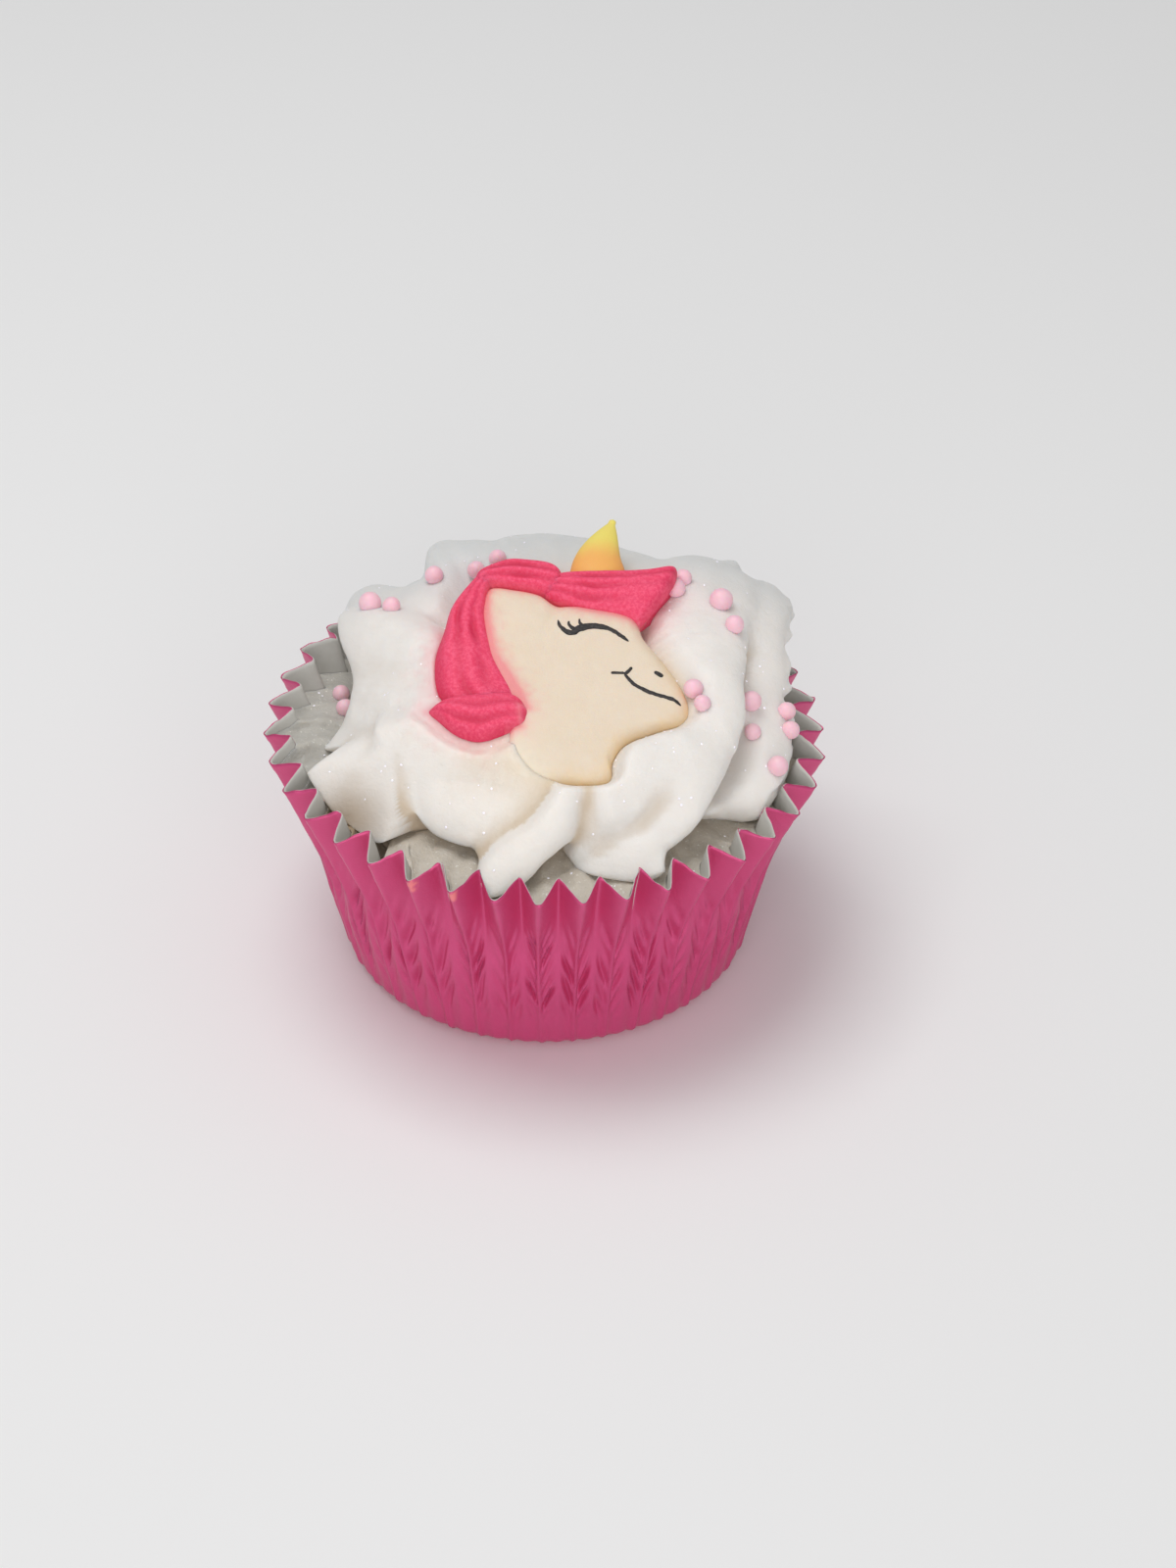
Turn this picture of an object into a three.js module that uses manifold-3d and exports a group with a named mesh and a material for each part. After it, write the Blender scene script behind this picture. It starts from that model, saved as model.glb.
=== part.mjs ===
// A cupcake in a pleated foil case: sponge, a coat of icing, a piped swirl with sugar pearls, and a cast
// sugar unicorn head laid in the swirl. Millimetres, +Z up, origin at the centre of the base, front along -Y.
import * as THREE from "three";
import { mergeVertices } from "three/addons/utils/BufferGeometryUtils.js";
import Module from "manifold-3d";

const wasm = await Module();
wasm.setup();

// Driving dimensions.
const GAP = 0.3; // left between pieces that touch
const BED_GAP = 0.5; // left round the unicorn in its bed of icing
const PLEATS = 38;
const RIM_RADIUS = 37; // to the outer tips of the pleats
const RIM_HEIGHT = 32.2; // of the outer tips
const BASE_RADIUS = 25.6;
const WALL_RADIUS = 27; // where the wall's taper would meet the table
const WALL_TAPER = 0.235; // radius gained for each millimetre of height
const HEEL = 2; // height of the rounding between base and wall
const FLARE = RIM_RADIUS - WALL_RADIUS - WALL_TAPER * RIM_HEIGHT; // what the free rim opens beyond the taper
const FLARE_START = 18;
const PAPER = 0.5; // the case's floor
const WALL = 0.6; // foil and paper together
const PLEAT_DEPTH = { base: 0.45, rim: 3.5 };
const PLEATS_OPEN = 8; // the height from which the pleats deepen
const PLEAT_RISE = 1.4; // an inner fold ends this much higher than an outer tip
const RIM_LEAN = Math.tan((2 * Math.PI) / 180); // the rim's left side stands higher than its right
const RIM_TOP = RIM_HEIGHT + PLEAT_RISE + RIM_RADIUS * RIM_LEAN + GAP; // nothing of the case is above this
const SPONGE_TOP = 23;
const COAT_EDGE = 26; // the height below which the coat of icing follows the sponge's edge
const COAT_TOP = 29.2; // the coat of icing that shows beside the swirl
const TOPPER = { height: 43.3, tilt: (20 * Math.PI) / 180 }; // the plane that the unicorn lies in
const PEARL_SUNK = 0.3; // the share of a pearl's diameter that is in the icing
const ICING_CEILING = 60; // above all icing

const UP = new THREE.Vector3(0, 0, 1);
const lerp = THREE.MathUtils.lerp;
const at = ([x, y, z]) => new THREE.Vector3(x, y, z);

const FINISH = {
  foil: { color: 0xc04a80, roughness: 0.4, metalness: 0.6 },
  sponge: { color: 0xd9a95c, roughness: 0.95, metalness: 0 },
  icing: { color: 0xefebe6, roughness: 0.55, metalness: 0 },
  face: { color: 0xf0e3cf, roughness: 0.7, metalness: 0 },
  mane: { color: 0xe03a64, roughness: 0.75, metalness: 0 },
  horn: { color: 0xf0c868, roughness: 0.7, metalness: 0 },
};

// Solids: a closed mesh becomes a solid for joins and cuts, and comes back as a geometry.

function solidOf(geometry) {
  const bare = geometry.clone();
  bare.deleteAttribute("normal");
  bare.deleteAttribute("uv");
  const merged = mergeVertices(bare, 1e-4);
  const triVerts = new Uint32Array(merged.index.array);
  const vertProperties = new Float32Array(merged.attributes.position.array);
  const made = new wasm.Manifold(new wasm.Mesh({ numProp: 3, vertProperties, triVerts }));
  if (made.volume() > 0) return made;
  for (let i = 0; i < triVerts.length; i += 3) {
    [triVerts[i], triVerts[i + 1]] = [triVerts[i + 1], triVerts[i]];
  }
  return new wasm.Manifold(new wasm.Mesh({ numProp: 3, vertProperties, triVerts }));
}

function geometryOf(solid) {
  const { vertProperties, triVerts } = solid.getMesh();
  const geometry = new THREE.BufferGeometry();
  geometry.setAttribute("position", new THREE.BufferAttribute(vertProperties, 3));
  geometry.setIndex(new THREE.BufferAttribute(triVerts, 1));
  geometry.computeVertexNormals();
  return geometry;
}

const joined = (solids) => solids.reduce((all, one) => all.add(one));

// The largest connected body, without scraps that a cut leaves loose.
function mainBody(solid) {
  return solid.decompose().sort((a, b) => b.volume() - a.volume())[0];
}

function named(name, geometry, finish) {
  const mesh = new THREE.Mesh(geometry, new THREE.MeshStandardMaterial(FINISH[finish]));
  mesh.name = name;
  return mesh;
}

// A closed skin over rings of points, each end closed by a fan to the ring's middle.
function skin(rings) {
  const around = rings[0].length;
  const middle = (ring) => ring.reduce((sum, p) => sum.add(p), new THREE.Vector3()).divideScalar(around);
  const points = [...rings.flat(), middle(rings[0]), middle(rings.at(-1))];
  const index = [];
  for (let row = 0; row < rings.length - 1; row++) {
    for (let k = 0; k < around; k++) {
      const next = (k + 1) % around;
      const [a, b] = [row * around + k, row * around + next];
      index.push(a, b, b + around, a, b + around, a + around);
    }
  }
  const last = (rings.length - 1) * around;
  for (let k = 0; k < around; k++) {
    const next = (k + 1) % around;
    index.push(next, k, points.length - 2);
    index.push(last + k, last + next, points.length - 1);
  }
  const geometry = new THREE.BufferGeometry().setFromPoints(points);
  geometry.setIndex(index);
  return geometry;
}

// The foil case: a lathed cup whose wall is then folded into pleats.

function wallRadius(z) {
  const flared = Math.max(0, (z - FLARE_START) / (RIM_HEIGHT - FLARE_START));
  const heel = Math.max(0, 1 - z / HEEL);
  return WALL_RADIUS + WALL_TAPER * z + FLARE * flared ** 1.3 - (WALL_RADIUS - BASE_RADIUS) * heel ** 2;
}

// How far the pleats fold in: little where the sponge presses them flat, most at the free rim.
function pleatDepth(z) {
  const free = THREE.MathUtils.smoothstep(z, PLEATS_OPEN, RIM_HEIGHT);
  return lerp(PLEAT_DEPTH.base, PLEAT_DEPTH.rim, free ** 1.2);
}

function foilCase() {
  const outer = [0, 1.6, 6, 12, 19, 26, RIM_HEIGHT].map((z) => new THREE.Vector2(wallRadius(z), z));
  const inner = [1.6, 10, 19, 26, RIM_HEIGHT].map((z) => new THREE.Vector2(wallRadius(z) - WALL, z));
  const floor = [new THREE.Vector2(BASE_RADIUS - PAPER, PAPER), new THREE.Vector2(0, PAPER)];
  const profile = [new THREE.Vector2(0, 0), ...outer, ...inner.reverse(), ...floor];
  const geometry = new THREE.LatheGeometry(profile, PLEATS * 4).rotateX(Math.PI / 2);
  const position = geometry.attributes.position;
  for (let i = 0; i < position.count; i++) {
    const [x, y, z] = [position.getX(i), position.getY(i), position.getZ(i)];
    const radius = Math.hypot(x, y);
    if (radius < 1) continue;
    const angle = Math.atan2(y, x);
    const turn = Math.round((angle / (2 * Math.PI)) * PLEATS * 4);
    // Low down the pleats are broad ribs with narrow creases between.
    const side = lerp(0.25, 0.5, THREE.MathUtils.smoothstep(z, PLEATS_OPEN, 28));
    const fold = [0, side, 1, side][((turn % 4) + 4) % 4];
    const share = z / RIM_HEIGHT;
    const folded = radius - pleatDepth(z) * fold;
    const drifted = angle + pleatDrift(angle);
    position.setX(i, folded * Math.cos(drifted));
    position.setY(i, folded * Math.sin(drifted));
    position.setZ(i, leaned(x, z) + PLEAT_RISE * fold * share ** 6);
  }
  return geometry;
}

// Towards the rim the case stands lower on its right side.
const leaned = (x, z) => z - RIM_LEAN * x * Math.min(1, z / RIM_HEIGHT) ** 2;

// The pleats crowd a little at two places round the rim, and start at a tip near the back left.
function pleatDrift(angle) {
  const degree = Math.PI / 180;
  return (3.5 + 2.2 * Math.cos(2 * (angle - 225 * degree))) * degree;
}

// Clear radius inside the pleats at a height.
function insideRadius(z) {
  const clear = lerp(1.5, 2.8, (z / RIM_HEIGHT) ** 6) * GAP;
  return wallRadius(z) - pleatDepth(z) - WALL - clear;
}

function sponge() {
  const heights = [PAPER + GAP, 3, 13, SPONGE_TOP - 1];
  const sides = heights.map((z) => new THREE.Vector2(insideRadius(z) - (z < 1 ? 0.6 : 0), z));
  const top = [insideRadius(SPONGE_TOP) - 2, 0].map((radius) => new THREE.Vector2(radius, SPONGE_TOP));
  const profile = [new THREE.Vector2(0, heights[0]), ...sides, ...top];
  return new THREE.LatheGeometry(profile, PLEATS).rotateX(Math.PI / 2);
}

// The coat: icing spread over the sponge out to the pleats.
function coat() {
  const profile = [
    [0, SPONGE_TOP + GAP],
    [insideRadius(SPONGE_TOP) - 0.5, SPONGE_TOP + GAP],
    [insideRadius(COAT_EDGE), COAT_EDGE],
    [insideRadius(COAT_TOP), COAT_TOP - 0.6],
    [insideRadius(COAT_TOP) - 2, COAT_TOP],
    [0, COAT_TOP + 1.6],
  ].map(([radius, z]) => new THREE.Vector2(radius, z));
  return new THREE.LatheGeometry(profile, PLEATS).rotateX(Math.PI / 2);
}

// The room that the icing can fill: inside the pleats, and free above the rim.
function room() {
  const profile = [
    [0, SPONGE_TOP],
    ...[SPONGE_TOP, COAT_EDGE, COAT_TOP, RIM_HEIGHT].map((z) => [insideRadius(z), z]),
    [insideRadius(RIM_HEIGHT), RIM_TOP],
    [2 * RIM_RADIUS, RIM_TOP + 0.4],
    [2 * RIM_RADIUS, ICING_CEILING],
    [0, ICING_CEILING],
  ].map(([radius, z]) => new THREE.Vector2(radius, z));
  const geometry = new THREE.LatheGeometry(profile, PLEATS).rotateX(Math.PI / 2);
  const position = geometry.attributes.position;
  for (let i = 0; i < position.count; i++) position.setZ(i, leaned(position.getX(i), position.getZ(i)));
  return geometry;
}

// The swirl: one mass of icing, a heap with piped bands that melt into it and into each other.

const HEAP = { middle: [0.5, 0.5, 27], reach: [25.5, 25.5, 13.5], lean: 0.22 };
// Each band's outer lip, its inner edge, buried in the heap, and its half-thickness on the way.
const BANDS = [
  // the seat pressed flat under the unicorn, with a soft edge along its front
  [[[-21, -10, 36.5], [-18.5, -12.5, 36.5], [-14.5, -15, 37], [-9, -15, 37.5], [-3.5, -16.5, 38],
   [2.5, -18.5, 38.5], [7, -19, 38.5]], [[-13, 8, 42], [-9, 9, 42.5], [-6, 9, 43], [-2, 9, 43], [2, 8, 43],
   [6, 6, 42.5], [10, 4, 42]], [2.2, 2.6, 2.8, 2.8, 2.8, 2.8, 2.8]],
  // the pouch across the front
  [[[-20, -9, 35], [-18.5, -13.5, 34], [-16.5, -18.5, 32.5], [-14, -22, 31.5], [-9, -24.5, 31.5],
   [-3.5, -23, 33], [0.5, -20, 35]], [[-15, -3, 36], [-12, -7, 36], [-9, -10, 36], [-6, -11, 35.5],
   [-3, -12, 35.5], [1, -12, 36], [4, -12, 36]], [2, 3, 3.4, 3.6, 3.6, 3.2, 2]],
  // the tongue over the rim at the front
  [[[2, -20, 37.5], [-2, -24, 34.5], [-6.5, -26, 32.5], [-9, -29.5, 31], [-7.5, -32.5, 30]],
   [[5, -19.5, 38], [4, -24.5, 35], [1, -27.5, 33], [-1.5, -30, 31], [-6, -32.5, 30]],
   [2, 2.3, 2.1, 1.6, 0.6]],
  // between that tongue and the right lip
  [[[4, -18.5, 37], [3, -21.5, 34], [3, -25, 31]], [[13, -20.5, 37], [11.5, -22.5, 34.5], [8, -23.5, 32]],
   [2, 2.2, 1]],
  // the swell under the chin
  [[[9, -24, 34.5], [14, -21.5, 36], [20, -19, 36.5], [23.5, -14, 38]], [[8, -17.5, 39.5],
   [10.5, -13.5, 40.5], [15.5, -11, 41], [20.5, -8.5, 41]], [2, 2.8, 2.8, 2.2]],
  // the long lip on the right, down to its ragged foot
  [[[25.5, -0.5, 41], [25.5, -5.5, 41], [25.5, -11, 40], [23.5, -14.5, 38], [22, -19.5, 36.5],
   [20.5, -22, 35], [17.5, -24, 33], [15.5, -25.5, 32], [16.5, -29.5, 30.5]], [[17, -0.5, 41],
   [17, -5, 41], [17.5, -8.5, 40], [17, -12, 39], [15.5, -16.5, 37.5], [13.5, -19, 35.5], [10.5, -21, 33],
   [7.5, -23, 32], [3.5, -25.5, 30]], [2, 2.4, 2.4, 2.4, 2.4, 2.2, 2.1, 1.8, 0.9]],
  // the dome beside the face
  [[[21.5, 24, 41.5], [25, 21, 42], [26.5, 15.5, 42.5], [26.5, 6.5, 42.5], [25.5, -3.5, 42],
   [25.5, -8.5, 40.5]], [[14.5, 18, 43], [13.5, 13.5, 43.5], [12.5, 9, 43.5], [14, 3, 43], [17, -2, 42],
   [19, -6, 41]], [2.4, 2.8, 3, 3, 2.8, 2.2]],
  // the torn lobe on the right
  [[[31.5, 14, 38], [31.5, 10.5, 37.5], [32, 6.5, 36], [31, 3, 35], [29, 0, 35], [26.5, -4, 36]],
   [[25, 10.5, 39.5], [24.5, 7, 39], [24, 3, 38.5], [23.5, -0.5, 38], [23.5, -2.5, 38], [23.5, -5, 38]],
   [2.5, 2.6, 2.6, 2.4, 2, 1.2]],
  // the foot below it
  [[[32, 1, 33], [32, -6, 31.5], [31.5, -12, 30.5], [29.5, -15, 30], [24.5, -16, 30], [22, -18, 31]],
   [[26.5, -2, 35.5], [25, -7, 35], [24, -11, 34], [23, -13.5, 33.5], [21.5, -14.5, 33], [20.5, -16, 33]],
   [2.6, 2.8, 2.8, 2.6, 2.2, 1.8]],
  // round the back, from the right
  [[[27.5, 21, 40], [30, 22.5, 39.5], [31.5, 21.5, 39], [32.5, 18.5, 38.5], [31.5, 14, 38]],
   [[22, 8.5, 41.5], [22.5, 7.5, 41.5], [23, 7, 41], [23.5, 6.5, 41], [24, 6, 40.5]],
   [2.4, 2.6, 2.6, 2.6, 2.4]],
  [[[11, 25.5, 41], [17.5, 22.5, 42], [21, 24, 42], [23.5, 24, 41.5], [26.5, 22, 41], [27.5, 20.5, 40]],
   [[12, 12.5, 43], [17, 8, 43], [19.5, 5.5, 43], [21.5, 5.5, 42.5], [23, 5, 42], [23.5, 4.5, 41.5]],
   [3, 3, 3, 3, 3, 2.5]],
  [[[21, 14, 39.5], [24, 20, 40.5], [26, 24, 42.5]], [[15, 20, 39.5], [21, 23, 40.5], [25, 25, 42.5]],
   [2, 1.2, 0.4]],
  [[[18, 12, 38.5], [23, 18.5, 34.5], [24, 23, 31]], [[8, 22, 38.5], [15, 27.5, 34.5], [21, 28, 31]],
   [3.6, 3, 1.6]],
  [[[-7, 27, 42], [-5, 29.5, 41.5], [-0.5, 31, 41], [3.5, 30, 41], [7.5, 28, 41], [12.5, 25.5, 41]],
   [[-6, 15.5, 44], [-3.5, 15.5, 44], [0.5, 15.5, 44], [4.5, 15.5, 44], [8, 15.5, 44], [12, 14, 43.5]],
   [2.5, 3, 3, 3, 3, 3]],
  [[[7, 18, 39.5], [8, 25, 35], [7, 31.5, 31]], [[-7, 22, 39.5], [-4, 29, 35], [2, 33.5, 31]],
   [3.6, 3, 1.4]],
  [[[-15.5, 21, 41], [-15.5, 25, 42], [-15, 28.5, 42], [-12, 28, 42.5], [-9.5, 28, 42.5],
   [-7.5, 26.5, 42.5]], [[-12, 16, 42], [-11.5, 18.5, 42], [-10.5, 20, 42.5], [-9.5, 19.5, 43],
   [-7.5, 19.5, 43], [-6, 19.5, 43]], [2, 2.2, 2, 2, 2.2, 2]],
  [[[-6.5, 22, 38.5], [-12.5, 29, 35], [-19, 29.5, 31.5]], [[-17.5, 14, 38.5], [-21.5, 21, 35],
   [-22, 24.5, 31.5]], [3.6, 3, 1.6]],
  [[[-20.5, 19, 39], [-19, 21, 39.5], [-16.5, 21.5, 40.5], [-14.5, 20.5, 41]], [[-17, 9.5, 40.5],
   [-16.5, 9.5, 41], [-15, 10, 41.5], [-14, 10.5, 42]], [2, 2.2, 2.2, 2]],
  [[[-27, 19.5, 37], [-26, 22.5, 37.5], [-23.5, 23.5, 38], [-20, 21.5, 38]], [[-19, 10, 39], [-19, 12, 39],
   [-18.5, 14.5, 39], [-17, 16, 39.5]], [2, 2.4, 2.4, 2]],
  // the sheet down the left, with its torn tip
  [[[-22.5, 16, 39.5], [-27, 17, 38.5], [-27.5, 16, 38], [-26.5, 12.5, 37.5], [-25, 7.5, 36.5],
   [-25, 3.5, 35.5], [-26, 1, 34], [-27.5, -1, 32], [-29.5, -3.5, 31]], [[-14, 6, 43], [-13.5, 4, 43.5],
   [-12.5, 0.5, 43.5], [-12, -3, 43], [-12, -6, 42], [-13, -8.5, 41], [-15, -10, 39], [-18, -9, 37],
   [-21, -8.5, 35.5]], [1.8, 2.2, 2.6, 2.6, 2.6, 2.4, 2.2, 1.6, 0.7]],
  // the tongue below it
  [[[-31.5, -10, 30.5], [-29, -13.5, 30], [-25.5, -17.5, 29], [-20.5, -22, 29]], [[-31, -10, 31],
   [-27.5, -8.5, 33], [-23.5, -7, 34.5], [-20, -9.5, 35.5]], [0.6, 1.6, 2, 2.2]],
];
const MELT = 0.9; // how far bands blend into one another
const BAND_STEPS = 18;

// The swirl's skin is where rays from this point leave the icing for the last time.
const SWIRL = { middle: [0, 1, 26.6], around: 96, first: 4, reach: 46, step: 0.8 };
const ELEVATIONS = [-6, -1, 3, 7, 10, 13, 16, 19, 22, 25, 29, 34, 40, 47, 56, 68];

const curveThrough = (points) => new THREE.CatmullRomCurve3(points.map(at), false, "catmullrom", 0.5);

// A value at s of the way along, from evenly spaced ones.
function valueAt(values, s) {
  const step = s * (values.length - 1);
  const low = Math.min(Math.floor(step), values.length - 2);
  return lerp(values[low], values[low + 1], step - low);
}

// Cross-sections along each band: lens shapes from its inner edge to its lip.
const RIBS = BANDS.map(([lipPoints, rootPoints, thick]) => {
  const [lip, root] = [curveThrough(lipPoints), curveThrough(rootPoints)];
  const middle = (s) => lip.getPoint(s).add(root.getPoint(s)).divideScalar(2);
  return [...Array(BAND_STEPS + 1).keys()].map((k) => {
    const s = k / BAND_STEPS;
    const side = lip.getPoint(s).sub(root.getPoint(s)).divideScalar(2);
    const half = side.length();
    side.normalize();
    const [before, after] = [Math.max(0, s - 0.5 / BAND_STEPS), Math.min(1, s + 0.5 / BAND_STEPS)];
    const along = middle(after).sub(middle(before));
    along.addScaledVector(side, -along.dot(side));
    const reach = along.length() * (s === 0 || s === 1 ? 1.2 : 0.6);
    along.normalize();
    const over = new THREE.Vector3().crossVectors(side, along);
    if (over.z < 0) over.negate();
    return { centre: middle(s), along, side, over, half, deep: valueAt(thick, s), reach };
  });
});

// Below 0 inside a band, 0 on its skin, and roughly the distance to it outside: the nearest of its ribs.
function bandField(ribs, point) {
  const away = new THREE.Vector3();
  return ribs.reduce((nearest, { centre, along, side, over, half, deep, reach }) => {
    away.subVectors(point, centre);
    const beyond = Math.max(0, Math.abs(away.dot(along)) - reach);
    const share = Math.hypot(away.dot(side) / half, away.dot(over) / deep, beyond / deep);
    return Math.min(nearest, (share - 1) * deep);
  }, Infinity);
}

function heapField(point) {
  const [mx, my, mz] = HEAP.middle;
  const [rx, ry, rz] = HEAP.reach;
  const z = point.z - mz - HEAP.lean * (point.y - my);
  return (Math.hypot((point.x - mx) / rx, (point.y - my) / ry, z / rz) - 1) * rz;
}

// Two fields join with a soft crease between them.
function melted(a, b) {
  const near = Math.max(0, 1 - Math.abs(a - b) / MELT);
  return Math.min(a, b) - (near * near * MELT) / 4;
}

function icingField(point) {
  return RIBS.reduce((field, ribs) => melted(field, bandField(ribs, point)), heapField(point));
}

function swirl() {
  const degree = Math.PI / 180;
  const middle = at(SWIRL.middle);
  const leaves = (direction) => {
    let last = SWIRL.first;
    for (let t = SWIRL.first; t < SWIRL.reach; t += SWIRL.step) {
      if (icingField(middle.clone().addScaledVector(direction, t)) < 0) last = t;
    }
    let [inside, outside] = [last, last + SWIRL.step];
    for (let k = 0; k < 5; k++) {
      const half = (inside + outside) / 2;
      if (icingField(middle.clone().addScaledVector(direction, half)) < 0) inside = half;
      else outside = half;
    }
    return middle.clone().addScaledVector(direction, inside);
  };
  return skin(
    ELEVATIONS.map((elevation) =>
      [...Array(SWIRL.around).keys()].map((k) => {
        const turn = (2 * Math.PI * k) / SWIRL.around;
        const flat = Math.cos(elevation * degree);
        return leaves(at([flat * Math.cos(turn), flat * Math.sin(turn), Math.sin(elevation * degree)]));
      }),
    ),
  );
}

// Sugar pearls: place seen from above and diameter. The last five are on the back.
const PEARLS = [
  [-23.3, 14.9, 3], [-20.4, 12.8, 2.4], [-14.7, 18.8, 2.5], [-8.9, 19.6, 2.4], [-6.3, 19.4, 2.4],
  [-27.3, 10.4, 2.3], [-26.7, 6, 2.4], [18.2, 14.4, 2.4], [17.2, 12, 2.7], [23, 10, 3.1],
  [24.6, 5.5, 2.5], [19.5, -6.2, 2.6], [20.5, -8.8, 2.2], [26.7, -2.3, 2.7], [27.1, -6.2, 2.2],
  [31.3, -1, 2.4], [31.7, -3.9, 2.4], [29.9, -11.3, 2.7], [-14, 29.2, 2.5], [4, 31, 2.8],
  [16, 24.6, 2.3], [22, 25.2, 2.4], [-8.5, 28.4, 2.4],
];

function pearl([x, y, diameter], surface) {
  const down = new THREE.Raycaster(new THREE.Vector3(x, y, ICING_CEILING), UP.clone().negate());
  const top = down.intersectObject(surface)[0].point.z;
  const geometry = new THREE.SphereGeometry(diameter / 2, 6, 4);
  return geometry.translate(x, y, top + diameter * (0.5 - PEARL_SUNK));
}

// The unicorn, in its own plane: x to the muzzle, y to the mane's crest, z out of the plane. Every solid of
// it can be grown, to cut its bed in the piece that holds it, and the bed in the icing is open above.

const BED_OPEN = 7; // the height of that bed's walls

// The head's outline from the ear's tip down the nape, round the neck, chin, muzzle and brow.
const HEAD = [
  [-7.4, 10.7], [-8.8, 7.6], [-9, 4], [-8.4, 0], [-7, -3.5], [-5.6, -8], [-5, -12.5], [-4.4, -16],
  [-1.8, -19.2], [3.2, -20], [8.2, -19.6], [8.8, -16.6], [10.4, -13.9], [14, -12.1], [17.6, -10.9],
  [18.7, -8.6], [17.9, -5.3], [15.6, -1.2], [13, 2.6], [11.2, 6.2], [5, 7.8], [1.4, 8], [-1, 9.6],
  [-4.2, 10.3],
];
const HEAD_MIDDLE = [3.5, -5.5];
const HEAD_THICK = { above: 2.6, below: 1.8 };

function head(grow, open = 0) {
  const corners = HEAD.map(([x, y]) => at([x, y, 0]));
  const edge = new THREE.CatmullRomCurve3(corners, true, "catmullrom", 0.5);
  const outline = edge.getSpacedPoints(48).slice(0, -1);
  const [mx, my] = HEAD_MIDDLE;
  const dome = [
    [0.5, -HEAD_THICK.below], [0.97, -HEAD_THICK.below], [1, -HEAD_THICK.below + 0.8], [1, 0.6],
    [0.965, 1.5], [0.88, 2.15], [0.6, HEAD_THICK.above - 0.1], [0.25, HEAD_THICK.above],
  ];
  const shaft = [[0.5, -HEAD_THICK.below], [1, -HEAD_THICK.below], [1, open], [0.5, open]];
  return skin(
    (open ? shaft : dome).map(([share, z]) =>
      outline.map((p) => {
        const [x, y] = [p.x - mx, p.y - my];
        const out = share + grow / Math.hypot(x, y);
        return at([mx + x * out, my + y * out, z + Math.sign(z - 0.2) * grow]);
      }),
    ),
  );
}

// The mane's locks: the nape, the forelock, the crest and the curl. Each is a sheet through its two edges and
// the line between them, raised into a dome that its strands rib. taper is its tip's share of its length.
const LOCKS = [
  {
    edge: [
      [-4.9, 15.1], [-7, 14.2], [-9.7, 11.5], [-12.2, 7.8], [-13.2, 4], [-14.2, 0], [-14.2, -4],
      [-13.3, -7], [-11, -10],
    ],
    other: [
      [-4.5, 10.8], [-6.6, 10.8], [-7.4, 9.4], [-7.4, 6], [-6.9, 2.6], [-6.1, -0.6], [-4.4, -3.6],
      [-3, -6.4], [-2, -9],
    ],
    strands: 3,
    thick: 3.2,
  },
  {
    edge: [[0.2, 12.6], [3.4, 13.3], [7.5, 13.6], [12.2, 13.6], [14.4, 13.9], [17.2, 14.6]],
    middle: [[-0.4, 10.5], [3, 10.4], [6.8, 10.2], [10.6, 10.1], [13.6, 10.1], [16.5, 10.6]],
    other: [[-0.2, 8.9], [2.7, 7.6], [5.8, 6.5], [9, 5.9], [10.8, 5.3], [12.1, 4.6]],
    strands: 4,
    thick: 3.2,
  },
  {
    edge: [[-9.4, 12], [-8, 13.5], [-4.9, 15.1], [-1.6, 15], [0.6, 14.6], [2.2, 13.2]],
    other: [[-8.6, 10], [-7, 10.4], [-3.9, 9.9], [-0.9, 9.3], [0.6, 8.9], [2.4, 10.2]],
    strands: 3,
    thick: 3.5,
  },
  {
    edge: [[-15.3, -8.4], [-12.9, -7.5], [-10.2, -6.5], [-8.1, -6], [-5.8, -5.8], [-3.6, -6.6]],
    middle: [[-15.3, -8.5], [-13.3, -8.9], [-10.9, -9.4], [-8, -9.7], [-5, -9.6], [-1.9, -9.5]],
    other: [[-15.2, -8.6], [-13.8, -10], [-11.5, -12.2], [-8.4, -13.4], [-5.4, -12.9], [-3, -11.8]],
    strands: 3,
    thick: 3.9,
    taper: 0.3,
  },
];
const LOCK_BELOW = 1.8; // how deep each lock goes below the unicorn's plane
const RIB_DEPTH = 0.14; // of the grooves between strands, as a share of the lock's thickness

function lock({ edge, middle, other, strands, thick, taper = 0.01 }, grow, open) {
  const between = middle ?? edge.map(([x, y], k) => [(x + other[k][0]) / 2, (y + other[k][1]) / 2]);
  const lines = [edge, between, other].map((line) => curveThrough(line.map(([x, y]) => [x, y, 0])));
  const stations = [0, 0.08, 0.22, 0.38, 0.54, 0.7, 0.86, 1];
  return skin(
    stations.map((s) => {
      const [a, b, c] = lines.map((line) => line.getPoint(s));
      const ahead = lines[1].getTangent(s).multiplyScalar(grow * ((s === 1) - (s === 0)));
      const across = c.clone().sub(a).setLength(grow);
      const end = Math.sqrt(1 - 0.96 * Math.abs(2 * s - 1) ** 12);
      const raised = end * Math.sqrt(THREE.MathUtils.smoothstep(s, -0.02, taper));
      return [...Array(16).keys()].map((k) => {
        const turn = (2 * Math.PI * (k + 0.5)) / 16;
        const t = 0.5 - 0.5 * Math.cos(turn);
        const point = a.clone().multiplyScalar((1 - t) * (1 - 2 * t));
        point.addScaledVector(b, 4 * t * (1 - t)).addScaledVector(c, t * (2 * t - 1));
        point.add(ahead).addScaledVector(across, 2 * t - 1);
        const rib = 1 - RIB_DEPTH * (0.5 + 0.5 * Math.cos(2 * Math.PI * strands * t));
        const above = open || raised * thick * rib + grow;
        const high = Math.sin(turn);
        return point.setZ(high > 0 ? above * high ** 0.7 : (LOCK_BELOW + grow) * high);
      });
    }),
  );
}

const mane = (grow, open = 0) => joined(LOCKS.map((each) => solidOf(lock(each, grow, open))));

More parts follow.
